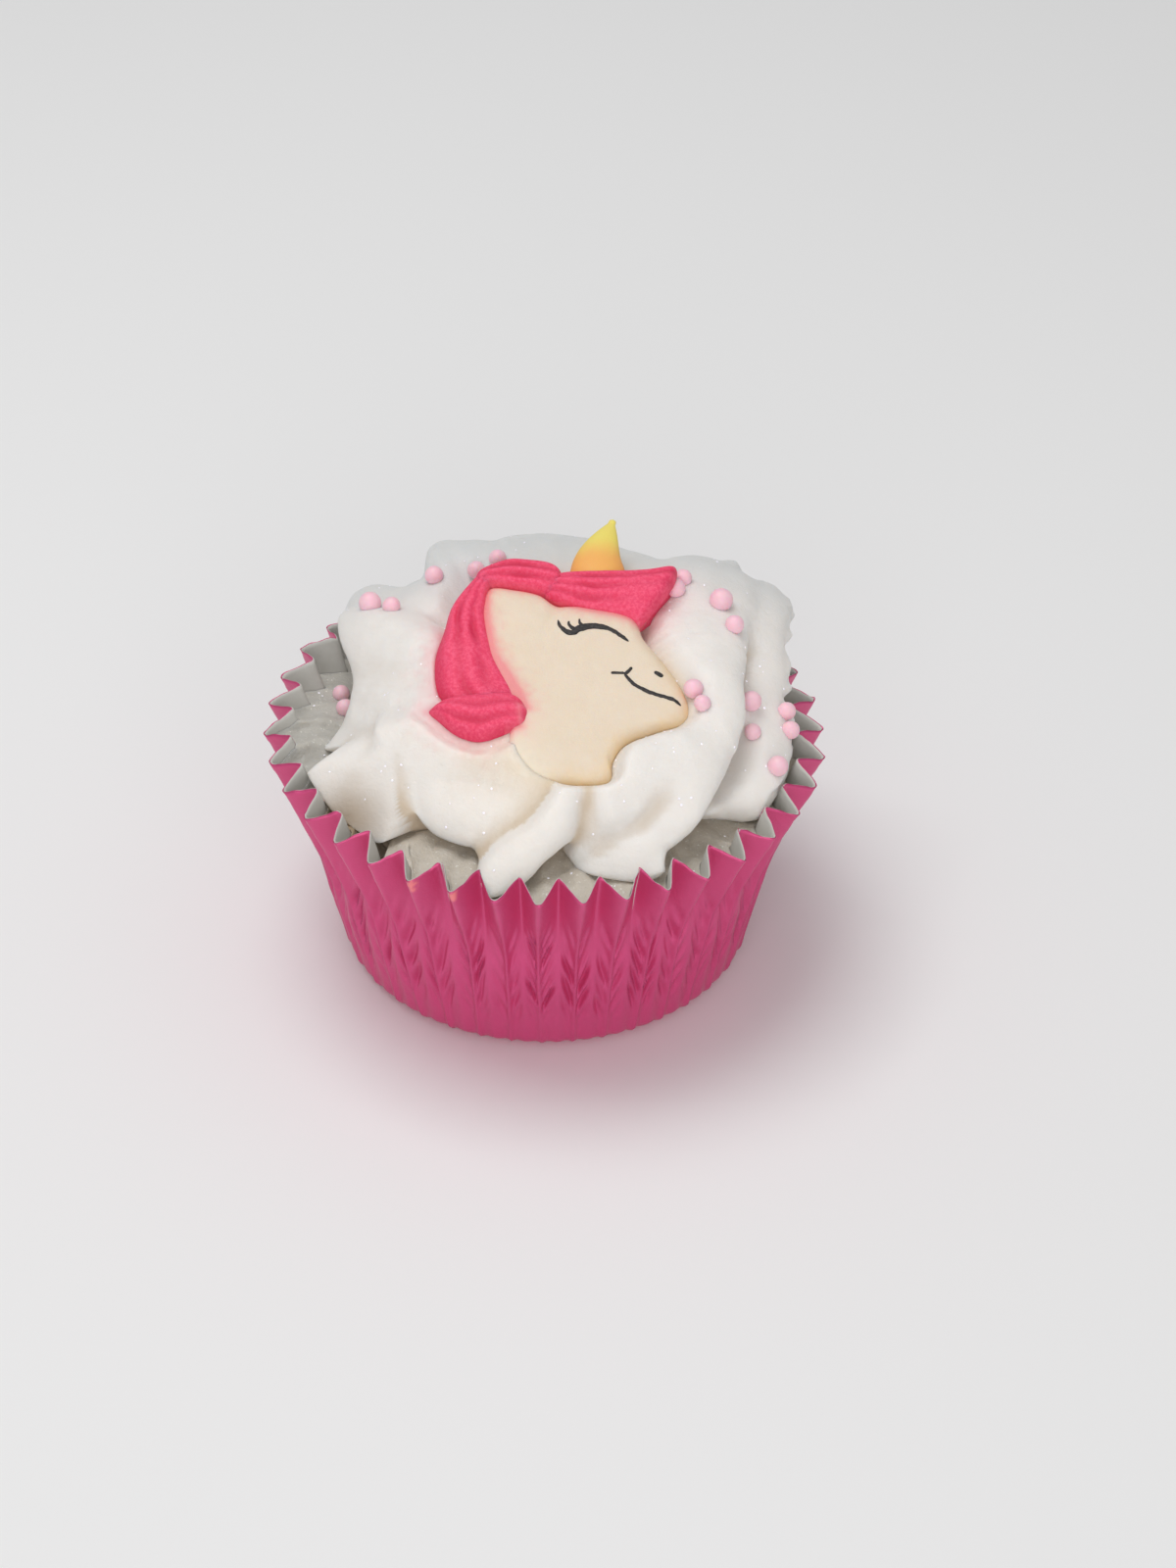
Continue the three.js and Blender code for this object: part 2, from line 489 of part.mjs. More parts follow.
// The horn: a short claw whose base is tucked behind the forelock.
const HORN = { spine: [[6.9, 12], [7.1, 16.5], [9, 22.6]], base: 3.8, tip: 0.5, flat: 0.62, lift: 0.1 };

function horn(grow) {
  const [start, middle, end] = HORN.spine.map(([x, y]) => [x, y, HORN.lift]);
  // The Bezier handle that makes the curve pass through the middle point.
  const handle = at(middle).multiplyScalar(2).addScaledVector(at(start).add(at(end)), -0.5);
  const curve = new THREE.QuadraticBezierCurve3(at(start), handle, at(end));
  return skin(
    [0, 0.2, 0.4, 0.6, 0.78, 0.92, 1].map((s) => {
      const side = curve.getTangent(s).cross(UP).normalize();
      const half = Math.max(HORN.base * (1 - s ** 2.2), HORN.tip) + grow;
      const centre = curve.getPoint(s).addScaledVector(curve.getTangent(s), s === 1 ? grow : 0);
      return [...Array(12).keys()].map((k) => {
        const turn = (2 * Math.PI * k) / 12;
        const high = Math.sin(turn) * half * HORN.flat;
        return centre.clone().addScaledVector(side, half * Math.cos(turn)).setZ(HORN.lift + high);
      });
    }),
  );
}

// Assembly. The topper's pieces are children of its tilted plane.

const cupcake = new THREE.Group();
const topper = new THREE.Group();
topper.position.z = TOPPER.height;
topper.rotation.x = TOPPER.tilt;
cupcake.add(topper);
cupcake.updateMatrixWorld(true);

const maneBed = mane(GAP);
const headSolid = mainBody(solidOf(head(0)).subtract(maneBed));
const hornSolid = mainBody(solidOf(horn(0)).subtract(maneBed).subtract(solidOf(head(GAP))));

const placed = (solid) => solidOf(geometryOf(solid).applyMatrix4(topper.matrixWorld));
const grown = [mane(BED_GAP, BED_OPEN), solidOf(head(BED_GAP, BED_OPEN)), solidOf(horn(BED_GAP))];
const topperBed = grown.map(placed);

const contained = solidOf(coat()).add(solidOf(swirl())).intersect(solidOf(room()));
const bedded = mainBody(topperBed.reduce((rest, bed) => rest.subtract(bed), contained));
const surface = new THREE.Mesh(geometryOf(bedded));
const pearls = PEARLS.map((each) => solidOf(pearl(each, surface)));
const icing = mainBody(topperBed.reduce((rest, bed) => rest.subtract(bed), joined([bedded, ...pearls])));

cupcake.add(named("foil_case", foilCase(), "foil"));
cupcake.add(named("sponge", sponge(), "sponge"));
cupcake.add(named("icing", geometryOf(icing), "icing"));
topper.add(named("unicorn_head", geometryOf(headSolid), "face"));
topper.add(named("unicorn_mane", geometryOf(mane(0)), "mane"));
topper.add(named("unicorn_horn", geometryOf(hornSolid), "horn"));

export default cupcake;
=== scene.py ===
import math

import bpy
import numpy as np
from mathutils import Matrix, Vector
from mathutils.bvhtree import BVHTree


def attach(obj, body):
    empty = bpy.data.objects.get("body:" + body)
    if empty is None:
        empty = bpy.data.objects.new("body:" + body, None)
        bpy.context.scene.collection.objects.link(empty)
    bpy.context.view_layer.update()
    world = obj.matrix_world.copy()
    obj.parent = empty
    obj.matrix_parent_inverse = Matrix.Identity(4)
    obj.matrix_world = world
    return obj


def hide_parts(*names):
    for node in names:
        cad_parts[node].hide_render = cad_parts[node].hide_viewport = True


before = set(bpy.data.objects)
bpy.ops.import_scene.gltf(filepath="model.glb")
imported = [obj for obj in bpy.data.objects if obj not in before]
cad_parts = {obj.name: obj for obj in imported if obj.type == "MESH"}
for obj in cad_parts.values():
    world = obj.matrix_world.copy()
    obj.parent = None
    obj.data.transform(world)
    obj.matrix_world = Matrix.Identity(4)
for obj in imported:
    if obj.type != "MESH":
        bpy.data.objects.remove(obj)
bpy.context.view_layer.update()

# The baking case.
# A disc of paper faced with pink foil, pressed into a cup whose wall is gathered in pleats. The cake pushes
# the panels between them outwards, so low down each pleat is a narrow fin with dents pressed in beside it.

MM = 0.001  # all sizes below are in millimetres
PLEATS = 38
RIM_RADIUS, RIM_HEIGHT = 37.0, 32.2
BASE_RADIUS, HEEL_HEIGHT = 25.6, 2.0
FOOT_RADIUS, WALL_TAPER = 27.0, 0.235  # the wall's line carried down to the floor, and its slope
FLARE_START = 18.0  # the height where the wall begins to bend outwards
RIM_LEAN = math.tan(math.radians(2))
PLEAT_DEPTH, PLEAT_RISE = (0.45, 3.5), 1.4  # least and greatest, and how much higher a fold ends
FOIL, PAPER = 0.1, 0.2  # how thick each layer is shown
DENT = 1.15  # the deepest dent
DENT_PITCH = 3.3  # from one dent to the next down a fin
WORN_SPOTS = [(-11.4, -34.8, 31.4), (-16.4, -32.8, 31.6)]  # where the foil has lost its face at the rim
WORN_REACH = 1.3
FOIL_PINK, FOIL_ROSE, WORN_PINK = (213, 75, 128), (214, 84, 134), (240, 128, 132)
FOIL_SHINE = 0.45  # how much of it looks like metal
PAPER_GREY, PAPER_PALE = (196, 194, 188), (206, 205, 200)
LATTICE = 32  # how many random values a side the noise has before it repeats


def linear(colour):
    """Linear red, green and blue of a screen colour given from 0 to 255."""
    c = np.array(colour) / 255
    return (*np.where(c < 0.04045, c / 12.92, ((c + 0.055) / 1.055) ** 2.4), 1.0)


def smoothstep(low, high, x):
    """0 below low and 1 above high, with a smooth S between: 3t^2 - 2t^3."""
    t = np.clip((x - low) / (high - low), 0, 1)
    return t * t * (3 - 2 * t)


def circle(count):
    """Turns evenly spaced round a circle."""
    return np.linspace(0, 2 * np.pi, count, endpoint=False)


def direction(rise, turn):
    """The way from a ball's middle to the point at a rise over its equator and a turn round it."""
    return np.stack([np.cos(rise) * np.cos(turn), np.cos(rise) * np.sin(turn), np.sin(rise) + 0 * turn], -1)


def lumps(points, size, seed):
    """Smooth noise from -1 to 1: random values on a lattice of cubes, blended by smoothsteps in each cube."""
    table = np.random.default_rng(seed).uniform(-1, 1, (LATTICE, LATTICE, LATTICE))
    q = np.asarray(points) / size + 1000
    cell = np.floor(q).astype(int)
    t = q - cell
    t = t * t * (3 - 2 * t)
    total = 0
    for corner in np.ndindex(2, 2, 2):
        weight = np.prod([t[..., k] if corner[k] else 1 - t[..., k] for k in range(3)], axis=0)
        i, j, k = [(cell[..., n] + corner[n]) % LATTICE for n in range(3)]
        total = total + weight * table[i, j, k]
    return total


def shell(grid):
    """A grid of points, whose columns go round, as a closed skin: a quad between each four neighbours, and
    each end closed by a fan to the mean of its row. Returns points, quads and triangles that face out."""
    rows, columns = grid.shape[:2]
    points = np.concatenate([grid.reshape(-1, 3), grid[:1].mean(1), grid[-1:].mean(1)])
    i, j = np.meshgrid(np.arange(rows - 1) * columns, np.arange(columns), indexing="ij")
    k = (j + 1) % columns
    quads = np.stack([i + j, i + k, i + k + columns, i + j + columns], -1).reshape(-1, 4)
    j, k, last = np.arange(columns), (np.arange(columns) + 1) % columns, (rows - 1) * columns
    first_fan = np.stack([k, j, np.full(columns, len(points) - 2)], -1)
    last_fan = np.stack([last + j, last + k, np.full(columns, len(points) - 1)], -1)
    triangles = np.concatenate([first_fan, last_fan])
    halves = np.concatenate([quads[:, [0, 1, 2]], quads[:, [0, 2, 3]], triangles])
    a, b, c = (points[halves[:, n]] for n in range(3))
    if np.einsum("ij,ij->", a, np.cross(b, c)) < 0:
        quads, triangles = quads[:, ::-1], triangles[:, ::-1]
    return points, quads, triangles


def joined(skins):
    """Several skins as one: each one's corners are counted on from the last one's points."""
    starts = np.cumsum([0] + [len(points) for points, _, _ in skins[:-1]])
    return (
        np.concatenate([points for points, _, _ in skins]),
        np.concatenate([quads + start for (_, quads, _), start in zip(skins, starts)]),
        np.concatenate([triangles + start for (_, _, triangles), start in zip(skins, starts)]),
    )


def skin_tree(points, quads):
    """A tree of a skin's quads, which finds where a ray meets them."""
    return BVHTree.FromPolygons([Vector(p) for p in points], [list(q) for q in quads])


def make_piece(name, skin, finish, slot, *nodes, **attributes):
    """Makes a piece from a skin in millimetres, with a number for each point in every attribute."""
    points, quads, triangles = skin
    mesh = bpy.data.meshes.new(name)
    mesh.vertices.add(len(points))
    mesh.vertices.foreach_set("co", (points * MM).astype(np.float32).ravel())
    corners = np.concatenate([quads.ravel(), triangles.ravel()]).astype(np.int32)
    mesh.loops.add(len(corners))
    mesh.loops.foreach_set("vertex_index", corners)
    sizes = np.repeat([4, 3], [len(quads), len(triangles)])
    mesh.polygons.add(len(sizes))
    mesh.polygons.foreach_set("loop_start", np.concatenate([[0], np.cumsum(sizes)[:-1]]).astype(np.int32))
    mesh.update(calc_edges=True)
    mesh.polygons.foreach_set("use_smooth", np.ones(len(sizes), bool))
    for key, values in attributes.items():
        mesh.attributes.new(key, "FLOAT", "POINT").data.foreach_set("value", values.astype(np.float32))
    mesh.materials.append(finish.material)
    made = bpy.data.objects.new(name, mesh)
    bpy.context.scene.collection.objects.link(made)
    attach(made, "root")
    if nodes:
        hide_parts(*nodes)
    return made


class Wire:
    """An output of a material's nodes. Python's operators on it add Math nodes."""

    def __init__(self, finish, socket):
        self.finish, self.socket = finish, socket

    def maths(self, operation, *values):
        return self.finish.node("ShaderNodeMath", {"operation": operation}, dict(enumerate(values)))

    def __add__(self, other):
        return self.maths("ADD", self, other)

    def __sub__(self, other):
        return self.maths("SUBTRACT", self, other)

    def __rsub__(self, other):
        return self.maths("SUBTRACT", other, self)

    def __mul__(self, other):
        return self.maths("MULTIPLY", self, other)

    __radd__, __rmul__ = __add__, __mul__

    def between(self, low, high):
        """0 where it is below low and 1 where it is above high, with a smooth S between."""
        sockets = {"Value": self, "From Min": low, "From Max": high}
        return self.finish.node("ShaderNodeMapRange", {"interpolation_type": "SMOOTHSTEP"}, sockets)


class Finish:
    """A material of one Principled shader, whose sockets hold the constants given."""

    def __init__(self, name, **constants):
        self.material = bpy.data.materials.new(name)
        self.material.use_nodes = True
        self.tree = self.material.node_tree
        self.shader = self.tree.nodes["Principled BSDF"]
        for key, value in constants.items():
            self.shader.inputs[key.replace("_", " ")].default_value = value

    def node(self, kind, settings, sockets, output=0):
        made = self.tree.nodes.new(kind)
        for key, value in settings.items():
            setattr(made, key, value)
        for key, value in sockets.items():
            if isinstance(value, Wire):
                self.tree.links.new(value.socket, made.inputs[key])
            else:
                made.inputs[key].default_value = value
        return Wire(self, made.outputs[output])

    def place(self):
        """Where a point is, in the object's own metres."""
        return self.node("ShaderNodeTexCoord", {}, {}, "Object")

    def attribute(self, name):
        return self.node("ShaderNodeAttribute", {"attribute_name": name}, {}, "Fac")

    def noise(self, size, detail=2.0, roughness=0.5):
        """Noise from 0 to 1 whose lumps are about size millimetres."""
        sockets = {"Vector": self.place(), "Scale": 1 / (size * MM), "Detail": detail, "Roughness": roughness}
        return self.node("ShaderNodeTexNoise", {}, sockets)

    def mix(self, mask, first, second):
        """A colour that is first where the mask is 0 and second where it is 1. Each of the two is a wire or a
        screen colour."""
        first, second = (each if isinstance(each, Wire) else linear(each) for each in (first, second))
        return self.node("ShaderNodeMix", {"data_type": "RGBA"}, {0: mask, 6: first, 7: second}, 2)

    def drive(self, socket, wire):
        self.tree.links.new(wire.socket, self.shader.inputs[socket])

    def bump(self, height, depth):
        """Relief of at most depth millimetres, where height goes from 0 to 1."""
        sockets = {"Height": height, "Distance": depth * MM, "Strength": 1.0}
        self.drive("Normal", self.node("ShaderNodeBump", {}, sockets))


def wall_radius(z):
    """Radius of the pleats' outer edges: a taper, a flare towards the rim, and a rounded heel."""
    flared = np.clip((z - FLARE_START) / (RIM_HEIGHT - FLARE_START), 0, None)
    flare = RIM_RADIUS - FOOT_RADIUS - WALL_TAPER * RIM_HEIGHT
    heel = (FOOT_RADIUS - BASE_RADIUS) * np.clip(1 - z / HEEL_HEIGHT, 0, None) ** 2
    return FOOT_RADIUS + WALL_TAPER * z + flare * flared**1.3 - heel


def pleat_depth(z):
    """From a pleat's outer edge to its inner fold: least low down by the cake, and most at the rim."""
    free = smoothstep(8, RIM_HEIGHT, z)
    return PLEAT_DEPTH[0] + (PLEAT_DEPTH[1] - PLEAT_DEPTH[0]) * free**1.2


def dents(z, offset, pleat):
    """Crescents pressed in beside a fin: a smooth saw along lines that rise steeply away from the fin, with a
    depth drawn for each, faded out at the fin, the panel's middle, the foot and the rim. Returns the saw's
    depth and the fading alone."""
    draw = np.random.default_rng(5).uniform(0, 1, (PLEATS, 4))[pleat % PLEATS]
    pitch = DENT_PITCH * (0.8 + 0.5 * draw[..., 0])
    rise = np.abs(offset) ** 0.85 * (2.8 + 1.6 * draw[..., 1])
    wander = 0.9 * lumps(np.stack([z, pleat * 7.3 + 0 * z, 9.0 * np.sign(offset)], -1), 4.5, 3)
    step = (z - rise + wander) / pitch + draw[..., 2] + 0.5 * (offset > 0)
    depths = np.random.default_rng(6).uniform(0.15, 1, (64, PLEATS))
    depth = depths[np.floor(step).astype(int) % len(depths), pleat % PLEATS] * (0.7 + 0.3 * draw[..., 3])
    saw = step % 1
    side = smoothstep(0.1, 0.5, np.abs(offset)) * (1 - smoothstep(1.3, 2.4, np.abs(offset)))
    high = smoothstep(4, 10, z) * (1 - smoothstep(19, 27, z))
    return smoothstep(0, 0.35, saw) * (1 - smoothstep(0.35, 1, saw)) * side * high * depth, side * high


def rounded(t, size):
    """A slope from 0 to 1 whose foot is rounded."""
    return (np.sqrt(t * t + size * size) - size) / (math.hypot(1, size) - size)


def case_wall(turn, z, inset, dented):
    """The wall: on a circle of wall_radius, each pleat a rounded zigzag at the rim that narrows to a fin
    between bulging panels lower down. An inner fold ends higher than an outer edge, the cut edge is a little
    torn, and the rim leans to the right. Inset moves it inwards, and dented presses the dents in singly."""
    phase = turn * PLEATS / (2 * np.pi)
    pleat = np.round(phase).astype(int)
    turn, z, phase, pleat = np.broadcast_arrays(turn, z, phase, pleat)
    t = 2 * np.abs(phase - pleat)
    offset = (phase - pleat) * 2 * np.pi * wall_radius(z) / PLEATS
    uneven = np.random.default_rng(8).uniform(-1, 1, (PLEATS, 3))[pleat % PLEATS]
    zigzag = rounded(1 - rounded(1 - rounded(t, 0.16), 0.22), 0.02)
    width = 0.2 + 0.06 * uneven[..., 0]
    fin = 1 - np.exp(-((t / width) ** 1.5))
    gathered = smoothstep(11, 28, z)
    fold = fin + (zigzag - fin) * gathered
    panel = 0.3 * smoothstep(0.25, 1, t) * (1 - smoothstep(14, 24, z))
    dent, reach = dents(z, offset, pleat)
    share = z / RIM_HEIGHT
    radius = wall_radius(z) - pleat_depth(z) * fold * (1 + 0.12 * uneven[..., 1] * share**3)
    radius += panel - DENT * (dent if dented else reach) - inset
    spot = np.stack([np.cos(turn) * 30, np.sin(turn) * 30, z], -1)
    radius += (0.12 * lumps(spot, 5, 11) + 0.05 * lumps(spot, 1.6, 12)) * smoothstep(1, 5, z) - 0.1
    torn = (0.28 * lumps(spot, 0.5, 13) + 0.28 * lumps(spot, 1.5, 14)) * share**16
    drifted = turn + drift(turn) + 0.02 * uneven[..., 2] * np.sin(np.pi * np.clip(share, 0, 1)) * (1 - t)
    x, y = radius * np.cos(drifted), radius * np.sin(drifted)
    return np.stack([x, y, z - RIM_LEAN * x * share**2 + PLEAT_RISE * fold * share**6 + torn], -1)


def drift(turn):
    """How far the pleats are shifted round the case: they crowd a little at two places."""
    return np.radians(3.5 + 2.2 * np.cos(2 * (turn - math.radians(225))))


def disc(wall_row, radii, z):
    """Rings that carry a row of the wall inwards to the axis at height z."""
    return np.array([wall_row * [r, r, 0] + [0, 0, z] for r in radii])


pleat_turns = np.arange(PLEATS * 14) * 2 * np.pi / (PLEATS * 14)
foil_turns = np.arange(PLEATS * 28) * 2 * np.pi / (PLEATS * 28)
foil_heights = np.concatenate([[0.0, 0.25, 0.6, 1.0, 1.5], np.linspace(2, RIM_HEIGHT, 58)])
inner_heights = np.concatenate([[FOIL, 1.5], np.linspace(5, RIM_HEIGHT, 19)])
foil_outside = case_wall(foil_turns, foil_heights[:, None], 0, True)
foil_inside = case_wall(foil_turns, inner_heights[:, None], FOIL, False)[::-1]
foil_floor = disc(foil_outside[0], [0.15, 0.5, 0.85, 0.97], 0)
foil_ceiling = disc(foil_inside[-1], [0.97, 0.5, 0.15], FOIL)
foil_grid = np.concatenate([foil_floor, foil_outside, foil_inside, foil_ceiling])

foil = Finish("pink_foil", Roughness=0.38)
foil_colour = foil.mix(foil.noise(6), FOIL_PINK, FOIL_ROSE)
foil.drive("Base Color", foil.mix(foil.attribute("worn"), foil_colour, WORN_PINK))
foil.drive("Metallic", (1 - foil.attribute("worn")) * FOIL_SHINE)
foil.bump(foil.noise(0.45, 3, 0.65), 0.05)
foil_skin = shell(foil_grid)
worn = np.max([1 - np.linalg.norm(foil_skin[0] - spot, axis=1) / WORN_REACH for spot in WORN_SPOTS], 0)
worn += 0.5 * lumps(foil_skin[0], 0.6, 15)
make_piece("foil_outside", foil_skin, foil, "foil_paper", "foil_case", worn=smoothstep(0.1, 0.35, worn))


def ring(grid):
    """A grid whose rows also go round, as a closed band: a skin without its fans, and a seam of quads that
    joins its last row to its first."""
    points, quads, _ = shell(grid)
    rows, columns = grid.shape[:2]
    j, k, last = np.arange(columns), (np.arange(columns) + 1) % columns, (rows - 1) * columns
    seam = np.stack([last + j, last + k, k, j], -1)
    if quads[0, 1] != 1:
        seam = seam[:, ::-1]
    return points[:-2], np.concatenate([quads, seam]), np.zeros((0, 3), int)


LINING_BOTTOM = 19.0  # below this the cake hides the paper
liner_heights = np.linspace(LINING_BOTTOM, RIM_HEIGHT, 34)
liner_out = case_wall(pleat_turns, liner_heights[:, None], FOIL + 0.05, False)
liner_in = case_wall(pleat_turns, liner_heights[:, None], FOIL + PAPER, False)[::-1]
liner_ring = np.concatenate([liner_in[-1:], liner_out, liner_in[:-1]])

paper = Finish("baking_paper", Roughness=0.75)
paper.drive("Base Color", paper.mix(paper.noise(1.2), PAPER_GREY, PAPER_PALE))
paper.bump(paper.noise(0.15), 0.03)
make_piece("paper_lining", ring(liner_ring), paper, "foil_paper", "foil_case")

# The sponge.
# A plain baked sponge that fills the case up to where the pleats open. Only a sliver of its brown edge shows,
# at the front left, where the icing over it has drawn back from the paper.

SPONGE_TOP, SPONGE_RISE = 23.0, 5.2  # its height, and how much higher it stands at the gap in the icing
ICING_GAP_TURN = math.radians(221)
SPONGE_CLEAR, SPONGE_TOP_CLEAR = 1.3, 1.5  # how far it stays inside the pleats' outer edges
SPONGE_LEVELS = (0.9, 4, 8, 12, 16, 20)
# Its rounded top edge: each ring's share of the radius, and how far below the top it lies.
SPONGE_EDGE = ((0.998, 1.2), (0.985, 0.4), (0.95, 0.1), (0.8, 0), (0.4, 0))
CRUMB_DARK, CRUMB_LIGHT = (96, 62, 30), (176, 128, 72)


def about(turn, middle, width):
    """1 at one turn round the cake, falling to 0 either side of it in a bell."""
    return np.exp(-((((turn - middle + np.pi) % (2 * np.pi) - np.pi) / width) ** 2))


sponge_top = SPONGE_TOP + SPONGE_RISE * about(pleat_turns, ICING_GAP_TURN, 0.1)
sponge_rows = [
    case_wall(pleat_turns, z, SPONGE_CLEAR, False) * [1, 1, 0] + [0, 0, z] for z in SPONGE_LEVELS
]
sponge_rim = case_wall(pleat_turns, sponge_top, SPONGE_TOP_CLEAR, False)
for share, drop in SPONGE_EDGE:
    level = SPONGE_TOP + (sponge_top - SPONGE_TOP) * (share > 0.9) - drop
    sponge_rows.append(sponge_rim * [share, share, 0] + level[:, None] * [0, 0, 1])
sponge_grid = np.array([sponge_rows[0] * [0.5, 0.5, 1], *sponge_rows])
sponge_grid[..., 2] += 0.15 * lumps(sponge_grid, 0.9, 17) * (sponge_grid[..., 2] > SPONGE_LEVELS[-1] + 1)

sponge = Finish("sponge_crumb", Roughness=0.95)
crumb = sponge.noise(1.2, 4, 0.7).between(0.4, 0.65)
sponge.drive("Base Color", sponge.mix(crumb, CRUMB_DARK, CRUMB_LIGHT))
sponge.bump(sponge.noise(0.8, 4, 0.7), 0.5)
make_piece("sponge_crumb", shell(sponge_grid), sponge, "sponge", "sponge")

# The unicorn.
# A flat head cast in a mould from cream, pink and yellow sugar. It is given in its own plane, x to the muzzle
# and y to the crest, and lies tilted back in the icing.

TOPPER_HEIGHT, TOPPER_TILT = 43.3, math.radians(20)
# The outline of the face: down the nape to the neck, up the throat to the muzzle, and along the brow.
HEAD = [
    (-7.4, 10.7), (-8.6, 7.6), (-8.5, 4), (-7.9, 0.2), (-6.8, -3), (-5.6, -6), (-5, -9.5), (-4.8, -12.5),
    (-4.4, -16), (-1.8, -19.2), (3.2, -20), (8.2, -19.6), (8.8, -16.6), (10.4, -13.9), (14, -12.1),
    (17.6, -10.9), (18.7, -8.6), (17.9, -5.3), (15.6, -1.2), (13, 2.6), (11.2, 6.2), (5, 7.8), (1.4, 8),
    (-1, 9.6), (-4.2, 10.3),
]  # fmt: skip
HEAD_MIDDLE = (3.5, -5.5)
# Each lock: one edge, the line along its middle, the other edge, its strands, its height and its blunt end.
LOCKS = [
    # down the nape
    ([(-4.9, 15.1), (-7, 14.2), (-9.7, 11.5), (-12.2, 7.8), (-13.2, 4), (-14.2, 0), (-14.2, -4),
      (-13.3, -7), (-11, -10)],
     None,
     [(-4.5, 10.8), (-6.6, 10.8), (-7.4, 9.4), (-7.4, 6), (-6.9, 2.6), (-6.1, -0.6), (-4.4, -3.6),
      (-3, -6.4), (-2, -9)],
     3, 3.2, 0.01),
    # the forelock
    ([(0.2, 12.6), (3.4, 13.3), (7.5, 13.6), (12.2, 13.6), (14.4, 13.9), (17.2, 14.6)],
     [(-0.4, 10.5), (3, 10.4), (6.8, 10.2), (10.6, 10.1), (13.6, 10.1), (16.5, 10.6)],
     [(-0.2, 8.9), (2.7, 7.6), (5.8, 6.5), (9, 5.9), (10.8, 5.3), (12.1, 4.6)],
     4, 3.2, 0.01),
    # between the two, over the ear
    ([(-9.4, 12), (-8, 13.5), (-4.9, 15.1), (-1.6, 15), (0.6, 14.6), (2.2, 13.2)],
     None,
     [(-8.6, 10), (-7, 10.4), (-3.9, 9.9), (-0.9, 9.3), (0.6, 8.9), (2.4, 10.2)],
     3, 3.5, 0.01),
    # the curl at the foot of the mane
    ([(-15.3, -8.4), (-12.9, -7.5), (-10.2, -6.5), (-8.1, -6), (-5.8, -5.8), (-3.6, -6.6)],
     [(-15.3, -8.5), (-13.3, -8.9), (-10.9, -9.4), (-8, -9.7), (-5, -9.6), (-1.9, -9.5)],
     [(-15.2, -8.6), (-13.8, -10), (-11.5, -12.2), (-8.4, -13.4), (-5.4, -12.9), (-3, -11.8)],
     3, 3.9, 0.3),
]  # fmt: skip
CREAM, DEEP_CREAM, ICED_CREAM, EDGE_SHADE_TAN = (236, 220, 200), (230, 212, 188), (238, 225, 204), (236, 200, 140)
BLUSH = (240, 130, 140)  # where the mane's colour has bled into the face
HOT_PINK, LIGHT_PINK, GROOVE_SHADE_PINK = (238, 61, 103), (250, 92, 130), (206, 24, 72)
CREAMY_PINK = (246, 150, 160)  # where the face's colour has bled into the mane
YELLOW, ORANGE = (240, 222, 110), (246, 180, 96)


def through(points, count, closed=False):
    """A smooth curve through points, as count points evenly spaced in its parameter: between two of them, the
    cubic whose slope at each is half the step from the point before it to the one after it."""
    p = np.array(points, float)
    if closed:
        p = np.concatenate([p[-1:], p, p[:2]])
    else:
        p = np.concatenate([2 * p[:1] - p[1:2], p, 2 * p[-1:] - p[-2:-1]])
    spans = len(p) - 3
    s = np.arange(count) * spans / count if closed else np.linspace(0, spans, count)
    k = np.minimum(s.astype(int), spans - 1)
    u = (s - k)[:, None]
    a, b, c, d = p[k], p[k + 1], p[k + 2], p[k + 3]
    return b + 0.5 * u * (c - a + u * (2 * a - 5 * b + 4 * c - d + u * (3 * (b - c) + d - a)))


def beside(line, across):
    """Points of the plane beside each point of a line, at the distances given, to its right."""
    along = np.gradient(line, axis=0)
    along /= np.linalg.norm(along, axis=1)[:, None]
    side = np.stack([along[:, 1], -along[:, 0]], -1)
    return line[:, None] + side[:, None] * across[..., None]


def in_place(points):
    """Points of the unicorn's plane, tilted back and raised to where it lies."""
    x, y, z = np.moveaxis(points, -1, 0)
    c, s = math.cos(TOPPER_TILT), math.sin(TOPPER_TILT)
    return np.stack([x, y * c - z * s, y * s + z * c + TOPPER_HEIGHT], -1)


def in_plane(points):
    """The other way: points of the cake in the unicorn's plane."""
    x, y, z = np.moveaxis(points, -1, 0)
    c, s = math.cos(TOPPER_TILT), math.sin(TOPPER_TILT)
    z = z - TOPPER_HEIGHT
    return np.stack([x, y * c + z * s, z * c - y * s], -1)


def outline_distance(points, outline):
    """Distance in the plane to a closed outline, below 0 inside it."""
    best, inside = np.full(len(points), 1e9), np.zeros(len(points), bool)
    for (ax, ay), (bx, by) in zip(outline, np.roll(outline, -1, 0)):
        dx, dy = bx - ax, by - ay + 1e-9
        s = np.clip(((points[:, 0] - ax) * dx + (points[:, 1] - ay) * dy) / (dx * dx + dy * dy), 0, 1)
        best = np.minimum(best, np.hypot(points[:, 0] - ax - s * dx, points[:, 1] - ay - s * dy))
        crosses = (ay > points[:, 1]) != (by > points[:, 1])
        inside ^= crosses & (points[:, 0] < ax + (points[:, 1] - ay) * dx / dy)
    return np.where(inside, -best, best)


def head_distance(points):
    return outline_distance(points, through(HEAD, 150, True))


def mane_distance(points):
    outlines = [np.concatenate([through(lock[0], 30), through(lock[2], 30)[::-1]]) for lock in LOCKS]
    return np.min([outline_distance(points, each) for each in outlines], 0)


def sugar(name, **constants):
    """The finish of cast sugar: matt, a little translucent, with a fine grain."""
    made = Finish(name, Roughness=0.62, Subsurface_Weight=0.25, Subsurface_Scale=0.8 * MM, **constants)
    made.bump(made.noise(0.3, 3, 0.7), 0.06)
    return made


head_turns = through(HEAD, 420, True)
